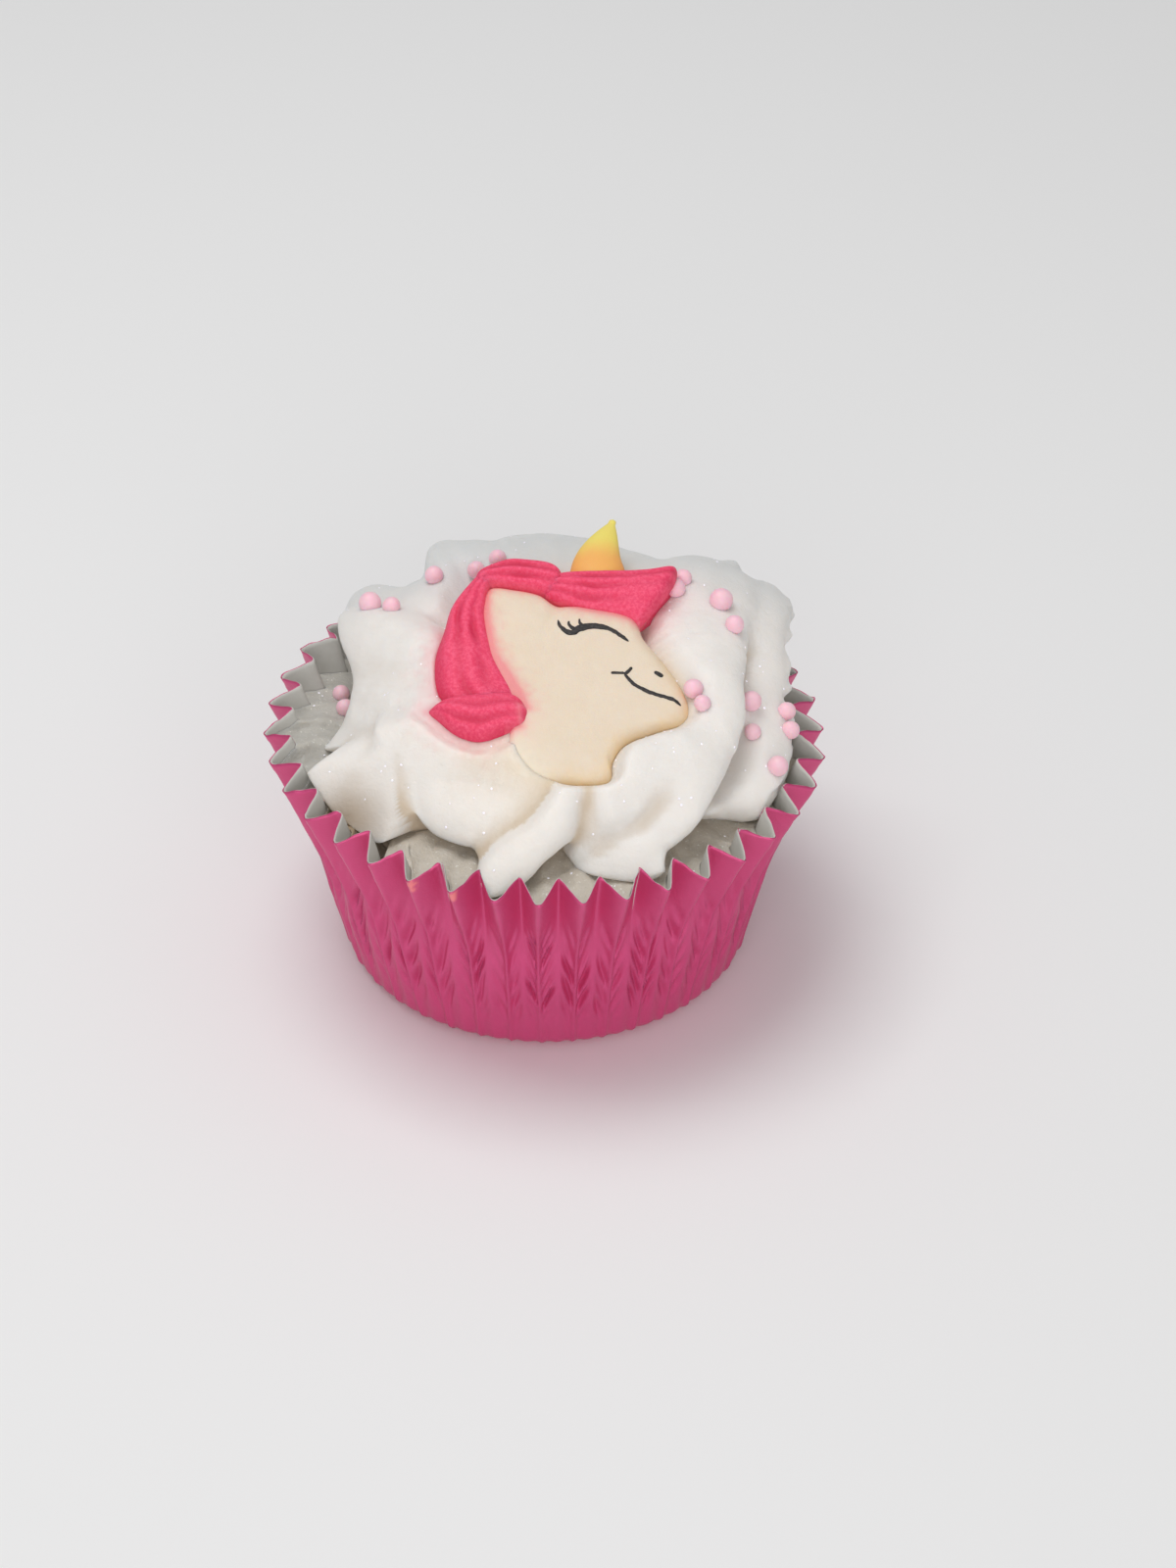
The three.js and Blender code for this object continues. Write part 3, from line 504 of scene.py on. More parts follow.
# The cast from its underside up: each ring's share of the outline, and its height. A low dome closes it.
EDGE_RINGS = [
    (0.5, -1.8), (0.97, -1.8), (1.0, -1.2), (1.0, 0.2), (0.995, 0.9), (0.98, 1.4), (0.96, 1.75),
    (0.935, 2.02), (0.905, 2.22), (0.87, 2.36),
]  # fmt: skip
dome = [(share, 2.36 + 0.24 * (1 - (share / 0.87) ** 2)) for share in np.linspace(0.83, 0.03, 26)]
head_rings = np.array(EDGE_RINGS + dome)
head_flat = np.array(HEAD_MIDDLE) + (head_turns - HEAD_MIDDLE) * head_rings[:, None, :1]
head_high = np.broadcast_to(head_rings[:, None, 1:], (*head_flat.shape[:2], 1))
head_grid = np.concatenate([head_flat, head_high], -1)
relief = 0.1 * lumps(head_grid, 3.5, 21) + 0.03 * lumps(head_grid, 0.9, 22)
ear = np.hypot((head_grid[..., 0] + 4) / 5.5, (head_grid[..., 1] - 7) / 4.5)
ear_fold = np.abs(head_grid[..., 0] - 1.4 + 0.45 * (6.5 - head_grid[..., 1])) / 0.7
relief += 0.4 * (1 - smoothstep(0.5, 1.1, ear))
relief -= 0.16 * np.exp(-(ear_fold**2)) * (1 - smoothstep(0.9, 1.5, ear))
head_grid[..., 2] += relief * (head_grid[..., 2] > 1)
head_skin = shell(in_place(head_grid))
head_plane = in_plane(head_skin[0])

face = sugar("cream_sugar", Subsurface_Radius=(1, 0.7, 0.4))
face_colour = face.mix(face.noise(2.5, 3), CREAM, DEEP_CREAM)
# Painted shade: a tan along the face's edge.
face_colour = face.mix(face.attribute("rim"), face_colour, EDGE_SHADE_TAN)
face_colour = face.mix(face.attribute("iced"), face_colour, ICED_CREAM)
face.drive("Base Color", face.mix(face.attribute("mane_near"), face_colour, BLUSH))

face_x, face_y = head_plane[:, 0], head_plane[:, 1]
fuzz = 1 + 0.5 * lumps(head_skin[0], 0.6, 23)
mane_near = np.exp(-np.clip(mane_distance(head_plane[:, :2]), 0, None) / 0.7 * fuzz) * 0.8
edge_near = np.minimum(head_distance(head_plane[:, :2]), 0) * fuzz
# Painted shade darkens the edge, most at throat and muzzle. Down the back of the neck it is filmed with
# icing.
darker = smoothstep(-9, -16, face_y) * smoothstep(-3, 2, face_x) + smoothstep(13, 17, face_x)
neck_edge = smoothstep(3, -2, face_x) * smoothstep(-6, -10, face_y)
rim = 0.75 * np.exp(edge_near / 0.8) * np.clip(0.25 + darker, 0, 1) * (1 - neck_edge)
iced = np.exp(np.minimum(edge_near + 1.6, 0) / 1.8) * neck_edge
make_piece(
    "unicorn_face", head_skin, face, "cream_sugar", "unicorn_head", mane_near=mane_near, rim=rim, iced=iced
)


def lock_grid(edge, middle, other, strands, thick, taper, rows=150, columns=96):
    """A lock: a sheet through three lines, by the parabola through their points, raised into a dome that is
    round at its edges and ends, with wandering grooves between its strands. Returns it and the grooves."""
    s = np.linspace(0, 1, rows)
    middle = middle or (np.array(edge) + other) / 2
    lines = [through(line, rows)[:, None] for line in (edge, middle, other)]
    turn = circle(columns)
    t = 0.5 - 0.5 * np.cos(turn)[:, None]
    flat = lines[0] * (1 - t) * (1 - 2 * t) + lines[1] * 4 * t * (1 - t) + lines[2] * t * (2 * t - 1)
    up = np.broadcast_to(np.sin(turn), (rows, columns))
    ends = (np.sqrt(1 - 0.96 * np.abs(2 * s - 1) ** 12) * smoothstep(-0.02, taper, s) ** 0.5)[:, None]
    spot = np.stack([flat[..., 0], flat[..., 1], 0 * up + thick], -1)
    wander = 1.6 * lumps(spot, 4.5, 31) + 0.5 * lumps(spot, 1.6, 32)
    wave = 0.5 - 0.5 * np.cos(2 * np.pi * strands * t[:, 0] + wander)
    ridge = 1 - (1 - wave) ** 1.5 * (0.65 + 0.6 * lumps(spot, 3, 33))
    dome = ends * (thick * np.abs(up) ** 0.7 - 0.55 * (1 - ridge) * np.abs(up) ** 0.4)
    z = np.where(up > 0, dome, 1.8 * up)
    return np.concatenate([flat, z[..., None]], -1), np.clip(1 - ridge, 0, 1) * (up > 0)


locks = [lock_grid(*each) for each in LOCKS]
mane_skin = joined([shell(in_place(lock)) for lock, _ in locks])
grooves = np.concatenate([[*groove.ravel(), 0, 0] for _, groove in locks])  # none at the fans' middles

mane = sugar("pink_sugar", Subsurface_Radius=(1, 0.3, 0.3))
mane_colour = mane.mix(mane.noise(0.45, 3, 0.7).between(0.35, 0.7), HOT_PINK, LIGHT_PINK)
# Painted shade: the grooves between the strands are a darker pink.
mane_colour = mane.mix(mane.attribute("groove") * 0.75, mane_colour, GROOVE_SHADE_PINK)
mane.drive("Base Color", mane.mix(mane.attribute("face_near"), mane_colour, CREAMY_PINK))
mane_flat = in_plane(mane_skin[0])[:, :2]
face_near = 0.5 * np.exp(-np.abs(mane_distance(mane_flat)) / 0.3) * (head_distance(mane_flat) < 0.3)
make_piece(
    "unicorn_mane_locks", mane_skin, mane, "pink_sugar", "unicorn_mane", groove=grooves, face_near=face_near
)

# The horn: the line it follows, its half-width at the root and the tip, and how flat it is.
HORN_SPINE = [(6.9, 12), (7.1, 16.5), (9, 22.6)]
HORN_BASE, HORN_TIP, HORN_FLAT = 3.8, 0.5, 0.62
horn_s = np.linspace(0, 1, 60)
horn_line = through(HORN_SPINE, 60)
horn_round = np.sqrt(np.clip(1 - ((horn_s - 0.965) / 0.035).clip(0) ** 2, 0.02, 1))
horn_half = np.maximum(HORN_BASE * (1 - horn_s**2.2), HORN_TIP) * horn_round
horn_turn = circle(64)
horn_across = horn_half[:, None] * np.cos(horn_turn)
horn_up = horn_half[:, None] * np.sin(horn_turn) * HORN_FLAT + 0.1
horn_flat = beside(horn_line, horn_across)
horn_skin = shell(in_place(np.concatenate([horn_flat, horn_up[..., None]], -1)))

horn = sugar("yellow_sugar", Subsurface_Radius=(1, 0.7, 0.2))
horn_fade = horn.attribute("tip") + (horn.noise(1.5) - 0.5) * 0.25
horn.drive("Base Color", horn.mix(horn_fade, ORANGE, YELLOW))
horn_tip = smoothstep(14.5, 19.5, in_plane(horn_skin[0])[:, 1])
make_piece("unicorn_horn_cone", horn_skin, horn, "yellow_sugar", "unicorn_horn", tip=horn_tip)

# The ink.
# Black food pen on the cast face: a closed eyelid with lashes, a smile with its cheek crease, and a nostril.
# The sugar doesn't soak it up, so it has dried as a thin ridge.

# Each stroke's path on the face and its half-width on the way.
STROKES = [
    ([(1.7, 4.8), (2.1, 3.7), (3.4, 2.7), (4.6, 3.5), (6.3, 3.9), (8.3, 3.5), (9.8, 2.5), (10.9, 1.5)],
     [0.16, 0.26, 0.4, 0.5, 0.44, 0.34, 0.28, 0.2]),
    ([(3.1, 4.6), (3.2, 4.0), (3.9, 3.2)], [0.12, 0.2, 0.28]),
    ([(4.5, 5.0), (4.6, 4.3), (5.2, 3.7)], [0.12, 0.2, 0.28]),
    ([(8.6, -3.5), (9.4, -3.5), (10.3, -3.5)], [0.18, 0.2, 0.2]),
    ([(11.3, -2.6), (10.9, -3.2), (10.3, -3.7)], [0.18, 0.22, 0.26]),
    ([(10.3, -3.6), (11.5, -5.2), (13.2, -6.3), (15, -7), (16.6, -7.6), (17.6, -8.4)],
     [0.2, 0.26, 0.27, 0.27, 0.26, 0.18]),
    ([(14.2, -3.35), (14.75, -3.65), (15.3, -4.05)], [0.2, 0.32, 0.24]),
]  # fmt: skip
INK_BLACK, INK_THIN = (30, 27, 27), (66, 59, 57)
head_tree = skin_tree(head_plane, head_skin[1])


def stroke_grid(path, half, rows=60, columns=8):
    """A pen stroke: a low rounded ridge along a path, laid on the face below it, with a rough edge."""
    line = through(path, rows)
    s = np.linspace(0, 1, rows)
    width = np.interp(s, np.linspace(0, 1, len(half)), half) * np.sqrt(1 - 0.95 * np.abs(2 * s - 1) ** 14)
    turn = circle(columns)
    across = width[:, None] * np.cos(turn)
    spot = np.stack([line[:, :1] + 0 * across, line[:, 1:] + 0 * across, across], -1)
    across = across * (1 + 0.22 * lumps(spot, 0.35, 41))
    flat = beside(line, across)
    ground = [head_tree.ray_cast(Vector((x, y, 9)), Vector((0, 0, -1)))[0].z for x, y in flat.reshape(-1, 2)]
    z = np.array(ground).reshape(rows, columns) + 0.05 * np.sin(turn) + 0.02
    return np.concatenate([flat, z[..., None]], -1)


ink = Finish("food_ink", Roughness=0.6)
ink.drive("Base Color", ink.mix(ink.noise(0.3, 3).between(0.45, 0.75), INK_BLACK, INK_THIN))
ink_skin = joined([shell(in_place(stroke_grid(*each))) for each in STROKES])
make_piece("ink_lines", ink_skin, ink, "cream_sugar")

# The coat of icing.
# Icing spread over the sponge and out between the pleats. It is greyer than the swirl, full of fine bubbles,
# and has drawn back from the paper at one place on the left, where a dark brown shadow is painted in the gap.

COAT_TOP, COAT_SWELL, COAT_REACH = 29.2, 1.6, 32.0
COAT_SKIRT = (27.5, 26.2, 25.0, 23.3)  # the heights of its rings inside the pleats
COAT_CLEAR = FOIL + PAPER + 0.15  # from the pleats' outer edges to the icing
COAT_GAP = 3.0  # how far it has drawn back
# Where the painted shadow in the gap is centred, and how far it spreads.
GAP_PLACE, GAP_SPREAD = (-25, -18, 30.5), 5.0
COAT_GREY, COAT_PALE, COAT_SHADED = (196, 187, 173), (216, 208, 196), (186, 184, 178)
BUBBLE_WHITE, GAP_SHADE_BROWN = (236, 233, 226), (150, 122, 84)


def near_gap(points):
    """1 at the gap, falling to 0 round it in a bell."""
    return np.exp(-(((points - np.array(GAP_PLACE)) ** 2).sum(-1) / GAP_SPREAD**2))


def coat_grid():
    """The coat: rings that swell from the middle's circle to the pleats at its edge, higher on the left and
    low behind it, with lumps and bubbles, then down inside the pleats to a flat underside."""
    turn = pleat_turns
    gap = about(turn, ICING_GAP_TURN, 0.055)
    drawn = 1 - np.stack([gap, gap, 0 * gap], -1) * COAT_GAP / COAT_REACH
    rise = 2.2 * about(turn, math.radians(182), 0.3) - 1.2 * about(turn, math.radians(138), 0.4)
    edge_z = COAT_TOP + rise - 2.6 * gap
    edge = case_wall(turn, edge_z, COAT_CLEAR, False) * drawn
    across = np.hypot(edge[:, 0], edge[:, 1]).reshape(PLEATS, -1).min(1).repeat(len(turn) // PLEATS)
    for _ in range(4):
        across = (across + np.roll(across, 8) + np.roll(across, -8)) / 3
    middle = np.stack([across * np.cos(turn), across * np.sin(turn), edge[:, 2]], -1)
    rows = []
    for share in np.concatenate([np.linspace(0.3, 0.9, 40), np.linspace(0.91, 1.0, 16)]):
        open_up = smoothstep(0.9, 1, share)
        row = (middle * (1 - open_up) + edge * open_up) * [share, share, 1]
        row[:, 2] = COAT_TOP + COAT_SWELL * (1 - share) + (row[:, 2] - COAT_TOP) * share**3
        rows.append(row)
    for z in COAT_SKIRT:
        rows.append(case_wall(turn, np.minimum(z, edge_z - 1), COAT_CLEAR, False) * drawn)
    rows.append(rows[-1] * [0.4, 0.4, 1])
    points = np.array(rows)
    bubbly = 0.3 * lumps(points, 4, 51) + 0.14 * lumps(points, 1.3, 52)
    bubbly += 0.12 * np.clip(lumps(points, 0.6, 53), 0, 1)
    points[..., 2] += bubbly * (points[..., 2] > 26)
    return points


coat = Finish(
    "coat_icing", Roughness=0.5, Subsurface_Weight=0.6, Subsurface_Scale=1.2 * MM,
    Subsurface_Radius=(1, 0.9, 0.75),
)  # fmt: skip
coat_colour = coat.mix(coat.noise(1.6, 3, 0.6), COAT_GREY, COAT_PALE)
coat_colour = coat.mix(coat.attribute("left"), coat_colour, COAT_SHADED)
# Painted shadow: a dark brown round the gap where the coat has drawn back from the paper.
coat_colour = coat.mix(coat.attribute("crumbed"), coat_colour, GAP_SHADE_BROWN)
bubbles = coat.noise(0.5, 2, 0.6).between(0.62, 0.75)
coat.drive("Base Color", coat.mix(bubbles, coat_colour, BUBBLE_WHITE))
coat.bump(coat.noise(0.45, 3, 0.65), 0.16)
coat_skin = shell(coat_grid())
left = 0.8 * smoothstep(-20, -27, coat_skin[0][:, 0])
crumbed = 0.9 * near_gap(coat_skin[0])
make_piece("icing_coat", coat_skin, coat, "icing", "icing", left=left, crumbed=crumbed)

# The swirl.
# Icing piped in folds that sag and melt into one soft mass, with thin lips that tore on the right. The
# unicorn was pressed into it, so it wells up round the sugar, which bleeds a little colour into it.

# Each band's outer lip, its inner edge, buried in the heap, and its half-thickness on the way.
BANDS = [
    # the seat pressed flat under the unicorn, with a soft edge along its front
    ([(-21, -10, 36.5), (-18.5, -12.5, 36.5), (-14.5, -15, 37), (-9, -15, 37.5), (-3.5, -16.5, 38),
     (2.5, -18.5, 38.5), (7, -19, 38.5)], [(-13, 8, 42), (-9, 9, 42.5), (-6, 9, 43), (-2, 9, 43),
     (2, 8, 43), (6, 6, 42.5), (10, 4, 42)], [2.2, 2.6, 2.8, 2.8, 2.8, 2.8, 2.8]),
    # the pouch across the front
    ([(-20, -9, 35), (-18.5, -13.5, 34), (-16.5, -18.5, 32.5), (-14, -22, 31.5), (-9, -24.5, 31.5),
     (-3.5, -23, 33), (0.5, -20, 35)], [(-15, -3, 36), (-12, -7, 36), (-9, -10, 36), (-6, -11, 35.5),
     (-3, -12, 35.5), (1, -12, 36), (4, -12, 36)], [2, 3, 3.4, 3.6, 3.6, 3.2, 2]),
    # the tongue over the rim at the front
    ([(2, -20, 37.5), (-2, -24, 34.5), (-6.5, -26, 32.5), (-9, -29.5, 31), (-7.5, -32.5, 30)],
     [(5, -19.5, 38), (4, -24.5, 35), (1, -27.5, 33), (-1.5, -30, 31), (-6, -32.5, 30)],
     [2, 2.3, 2.1, 1.6, 0.6]),
    # between that tongue and the right lip
    ([(4, -18.5, 37), (3, -21.5, 34), (3, -25, 31)], [(13, -20.5, 37), (11.5, -22.5, 34.5),
     (8, -23.5, 32)], [2, 2.2, 1]),
    # the swell under the chin
    ([(9, -24, 34.5), (14, -21.5, 36), (20, -19, 36.5), (23.5, -14, 38)], [(8, -17.5, 39.5),
     (10.5, -13.5, 40.5), (15.5, -11, 41), (20.5, -8.5, 41)], [2, 2.8, 2.8, 2.2]),
    # the long lip on the right, down to its ragged foot
    ([(25.5, -0.5, 41), (25.5, -5.5, 41), (25.5, -11, 40), (23.5, -14.5, 38), (22, -19.5, 36.5),
     (20.5, -22, 35), (17.5, -24, 33), (15.5, -25.5, 32), (16.5, -29.5, 30.5)], [(17, -0.5, 41),
     (17, -5, 41), (17.5, -8.5, 40), (17, -12, 39), (15.5, -16.5, 37.5), (13.5, -19, 35.5),
     (10.5, -21, 33), (7.5, -23, 32), (3.5, -25.5, 30)], [2, 2.4, 2.4, 2.4, 2.4, 2.2, 2.1, 1.8, 0.9]),
    # the dome beside the face
    ([(21.5, 24, 41.5), (25, 21, 42), (26.5, 15.5, 42.5), (26.5, 6.5, 42.5), (25.5, -3.5, 42),
     (25.5, -8.5, 40.5)], [(14.5, 18, 43), (13.5, 13.5, 43.5), (12.5, 9, 43.5), (14, 3, 43), (17, -2, 42),
     (19, -6, 41)], [2.4, 2.8, 3, 3, 2.8, 2.2]),
    # the torn lobe on the right
    ([(31.5, 14, 38), (31.5, 10.5, 37.5), (32, 6.5, 36), (31, 3, 35), (29, 0, 35), (26.5, -4, 36)],
     [(25, 10.5, 39.5), (24.5, 7, 39), (24, 3, 38.5), (23.5, -0.5, 38), (23.5, -2.5, 38), (23.5, -5, 38)],
     [2.5, 2.6, 2.6, 2.4, 2, 1.2]),
    # the foot below it
    ([(32, 1, 33), (32, -6, 31.5), (31.5, -12, 30.5), (29.5, -15, 30), (24.5, -16, 30), (22, -18, 31)],
     [(26.5, -2, 35.5), (25, -7, 35), (24, -11, 34), (23, -13.5, 33.5), (21.5, -14.5, 33),
     (20.5, -16, 33)], [2.6, 2.8, 2.8, 2.6, 2.2, 1.8]),
    # round the back, from the right
    ([(27.5, 21, 40), (30, 22.5, 39.5), (31.5, 21.5, 39), (32.5, 18.5, 38.5), (31.5, 14, 38)],
     [(22, 8.5, 41.5), (22.5, 7.5, 41.5), (23, 7, 41), (23.5, 6.5, 41), (24, 6, 40.5)],
     [2.4, 2.6, 2.6, 2.6, 2.4]),
    ([(11, 25.5, 41), (17.5, 22.5, 42), (21, 24, 42), (23.5, 24, 41.5), (26.5, 22, 41), (27.5, 20.5, 40)],
     [(12, 12.5, 43), (17, 8, 43), (19.5, 5.5, 43), (21.5, 5.5, 42.5), (23, 5, 42), (23.5, 4.5, 41.5)],
     [3, 3, 3, 3, 3, 2.5]),
    ([(21, 14, 39.5), (24, 20, 40.5), (26, 24, 42.5)], [(15, 20, 39.5), (21, 23, 40.5), (25, 25, 42.5)],
     [2, 1.2, 0.4]),
    ([(18, 12, 38.5), (23, 18.5, 34.5), (24, 23, 31)], [(8, 22, 38.5), (15, 27.5, 34.5), (21, 28, 31)],
     [3.6, 3, 1.6]),
    ([(-7, 27, 42), (-5, 29.5, 41.5), (-0.5, 31, 41), (3.5, 30, 41), (7.5, 28, 41), (12.5, 25.5, 41)],
     [(-6, 15.5, 44), (-3.5, 15.5, 44), (0.5, 15.5, 44), (4.5, 15.5, 44), (8, 15.5, 44), (12, 14, 43.5)],
     [2.5, 3, 3, 3, 3, 3]),
    ([(7, 18, 39.5), (8, 25, 35), (7, 31.5, 31)], [(-7, 22, 39.5), (-4, 29, 35), (2, 33.5, 31)],
     [3.6, 3, 1.4]),
    ([(-15.5, 21, 41), (-15.5, 25, 42), (-15, 28.5, 42), (-12, 28, 42.5), (-9.5, 28, 42.5),
     (-7.5, 26.5, 42.5)], [(-12, 16, 42), (-11.5, 18.5, 42), (-10.5, 20, 42.5), (-9.5, 19.5, 43),
     (-7.5, 19.5, 43), (-6, 19.5, 43)], [2, 2.2, 2, 2, 2.2, 2]),
    ([(-6.5, 22, 38.5), (-12.5, 29, 35), (-19, 29.5, 31.5)], [(-17.5, 14, 38.5), (-21.5, 21, 35),
     (-22, 24.5, 31.5)], [3.6, 3, 1.6]),
    ([(-20.5, 19, 39), (-19, 21, 39.5), (-16.5, 21.5, 40.5), (-14.5, 20.5, 41)], [(-17, 9.5, 40.5),
     (-16.5, 9.5, 41), (-15, 10, 41.5), (-14, 10.5, 42)], [2, 2.2, 2.2, 2]),
    ([(-27, 19.5, 37), (-26, 22.5, 37.5), (-23.5, 23.5, 38), (-20, 21.5, 38)], [(-19, 10, 39),
     (-19, 12, 39), (-18.5, 14.5, 39), (-17, 16, 39.5)], [2, 2.4, 2.4, 2]),
    # the sheet down the left, with its torn tip
    ([(-22.5, 16, 39.5), (-27, 17, 38.5), (-27.5, 16, 38), (-26.5, 12.5, 37.5), (-25, 7.5, 36.5),
     (-25, 3.5, 35.5), (-26, 1, 34), (-27.5, -1, 32), (-29.5, -3.5, 31)], [(-14, 6, 43), (-13.5, 4, 43.5),
     (-12.5, 0.5, 43.5), (-12, -3, 43), (-12, -6, 42), (-13, -8.5, 41), (-15, -10, 39), (-18, -9, 37),
     (-21, -8.5, 35.5)], [1.8, 2.2, 2.6, 2.6, 2.6, 2.4, 2.2, 1.6, 0.7]),
    # the tongue below it
    ([(-31.5, -10, 30.5), (-29, -13.5, 30), (-25.5, -17.5, 29), (-20.5, -22, 29)], [(-31, -10, 31),
     (-27.5, -8.5, 33), (-23.5, -7, 34.5), (-20, -9.5, 35.5)], [0.6, 1.6, 2, 2.2]),
]  # fmt: skip
TORN = (7, 8, 9)  # the bands whose lips tore
HEAP_MIDDLE, HEAP_REACH, HEAP_LEAN = (0.5, 0.5, 27), (25.5, 25.5, 13.5), 0.22
MELT = 0.9  # how deep the crease is where two folds meet
SWIRL_MIDDLE = np.array([0, 1, 26.6])
TONGUE_TURN = math.radians(256)
ICING_WHITE, MOTTLED_WHITE, BACK_SHADE_GREY = (240, 235, 230), (230, 227, 223), (212, 214, 214)
HOLLOW_SHADE_TAN, PINKED_ICING, CREAMED_ICING = (205, 184, 156), (240, 150, 160), (238, 216, 180)
RAY_STEP, RAY_START, RAY_END = 0.8, 4, 46  # how the rays are walked that look for the swirl's skin


def ribs(lip, root, thick, count=25):
    """Cross-sections along a band: middle, direction, side, upright, half-width and half-thickness."""
    lip, root = through(lip, count), through(root, count)
    centre, side = (lip + root) / 2, (lip - root) / 2
    half = np.linalg.norm(side, axis=1)
    side /= half[:, None]
    along = np.gradient(centre, axis=0)
    along -= side * (along * side).sum(1, keepdims=True)
    step = np.linalg.norm(along, axis=1)
    along /= step[:, None]
    over = np.cross(side, along)
    over *= np.sign(over[:, 2:])
    deep = np.interp(np.linspace(0, 1, count), np.linspace(0, 1, len(thick)), thick)
    return [each.astype(np.float32) for each in (centre, along, side, over, half, deep, step * 0.6)]


def melted(a, b):
    """The lower of two fields, with a soft crease where they are alike."""
    near = np.clip(1 - np.abs(a - b) / MELT, 0, None)
    return np.minimum(a, b) - near * near * MELT / 4


RIBS = [ribs(*band) for band in BANDS]


def icing_field(points):
    """Below 0 in the icing: the lowest of a leaning egg-shaped heap and each band's lens-shaped ribs, with
    soft creases between them. Only the points near a band are measured against it."""
    x, y, z = np.moveaxis(points - np.array(HEAP_MIDDLE, np.float32), -1, 0)
    rx, ry, rz = HEAP_REACH
    field = (np.sqrt((x / rx) ** 2 + (y / ry) ** 2 + ((z - HEAP_LEAN * y) / rz) ** 2) - 1) * rz
    for centre, along, side, over, half, deep, reach in RIBS:
        room = (half + MELT)[:, None]
        near = np.all((points > (centre - room).min(0)) & (points < (centre + room).max(0)), -1)
        p = points[near]
        across = p @ side.T - (centre * side).sum(1)
        above = p @ over.T - (centre * over).sum(1)
        beyond = np.clip(np.abs(p @ along.T - (centre * along).sum(1)) - reach, 0, None)
        away = (across / half) ** 2 + (above / deep) ** 2 + (beyond / deep) ** 2
        field[near] = melted(field[near], ((np.sqrt(away) - 1) * deep).min(1))
    return field


def swirl_points(rows=176, columns=520):
    """The swirl's skin: along rays from a point inside, bent a bit by noise, the last place where the field
    leaves the icing, found in steps that are then halved four times. Returns the distances and the rays."""
    rise = np.radians(-6 + 94 * np.linspace(0, 1, rows) ** 1.3)
    turn = circle(columns)
    ray = direction(*np.meshgrid(rise, turn, indexing="ij"))
    bent = ray + 0.004 * np.stack([lumps(ray * 30, 2.6, seed) for seed in (61, 62, 63)], -1)
    bent = bent + 0.0015 * np.stack([lumps(ray * 30, 0.9, seed) for seed in (64, 65, 66)], -1)
    far = np.arange(RAY_START, RAY_END, RAY_STEP, dtype=np.float32)
    reach = np.empty((rows, columns))
    for row in range(rows):
        field = icing_field((SWIRL_MIDDLE + bent[row, :, None] * far[:, None]).astype(np.float32))
        inside = field < 0
        last = np.clip(len(far) - 1 - inside[:, ::-1].argmax(1), 0, len(far) - 2)
        reach[row] = far[np.where(inside.any(1), last, 0)]
    step = RAY_STEP
    for _ in range(4):
        step /= 2
        further = (SWIRL_MIDDLE + bent * (reach + step)[..., None]).astype(np.float32)
        reach += step * (icing_field(further) < 0)
    return reach, ray


swirl_reach, swirl_ray = swirl_points()


def softened(reach, step, passes):
    """Distances averaged with their neighbours on the grid, again and again."""
    for _ in range(passes):
        around = (np.roll(reach, step, 1) + 2 * reach + np.roll(reach, -step, 1)) / 4
        reach = np.concatenate([reach[:1], (around[:-2] + 2 * around[1:-1] + around[2:]) / 4, reach[-1:]])
    return reach


# Where the skin lies deeper than its surroundings it is a hollow, and there the icing has run together.
hollow = np.clip(softened(swirl_reach, 2, 30) - swirl_reach, 0, 1.2) / 1.2
swirl_reach = softened(swirl_reach, 1, 4)
swirl_reach += (softened(swirl_reach, 1, 16) - swirl_reach) * smoothstep(0.15, 0.6, hollow)
swirl_grid = SWIRL_MIDDLE + swirl_ray * swirl_reach[..., None]

# The unicorn presses the icing down to a ceiling, which drops under the sugar and rises away from it. At the
# back of the neck the icing wells up against the edge and laps over it.
plane = in_plane(swirl_grid).reshape(-1, 3)
to_face, to_mane = head_distance(plane[:, :2]), mane_distance(plane[:, :2])
to_topper = np.minimum(to_face, to_mane)
neck = smoothstep(4, -3, plane[:, 0]) * smoothstep(-6, -11, plane[:, 1])
ceiling = -0.6 + (2.6 + 0.45 * neck) * smoothstep(-0.9, 0.5, to_topper + 1.5 * neck)
ceiling += 40 * smoothstep(0.5, 9, to_topper)
welled = np.clip(2.5 - 0.45 * np.clip(to_topper, 0, None) - plane[:, 2], 0, 2)
welled *= neck * smoothstep(0.8, 2.5, to_mane)
pressed = np.clip(plane[:, 2] + welled - ceiling, 0, None) - welled
pressed = softened(pressed.reshape(swirl_reach.shape), 1, 2)
swirl_grid -= pressed[..., None] * [0, -math.sin(TOPPER_TILT), math.cos(TOPPER_TILT)]


def tear(grid, ray):
    """Pushes the skin in and out by small lumps within 2 mm of the torn lips' outer edges."""
    points, torn = grid.reshape(-1, 3).astype(np.float32), np.zeros(grid[..., 0].size)
    for n in TORN:
        lip = through(BANDS[n][0], 60).astype(np.float32)
        near = np.flatnonzero(np.all((points > lip.min(0) - 2) & (points < lip.max(0) + 2), -1))
        away = np.sqrt(((points[near, None] - lip) ** 2).sum(-1).min(1))
        torn[near] = np.maximum(torn[near], 1 - smoothstep(0.5, 2, away))
    rough = 0.75 * lumps(grid, 2.1, 73) + 0.4 * lumps(grid, 1.1, 74) + 0.12 * lumps(grid, 0.6, 75)
    return grid + ray * (torn.reshape(rough.shape) * rough * 1.3)[..., None]


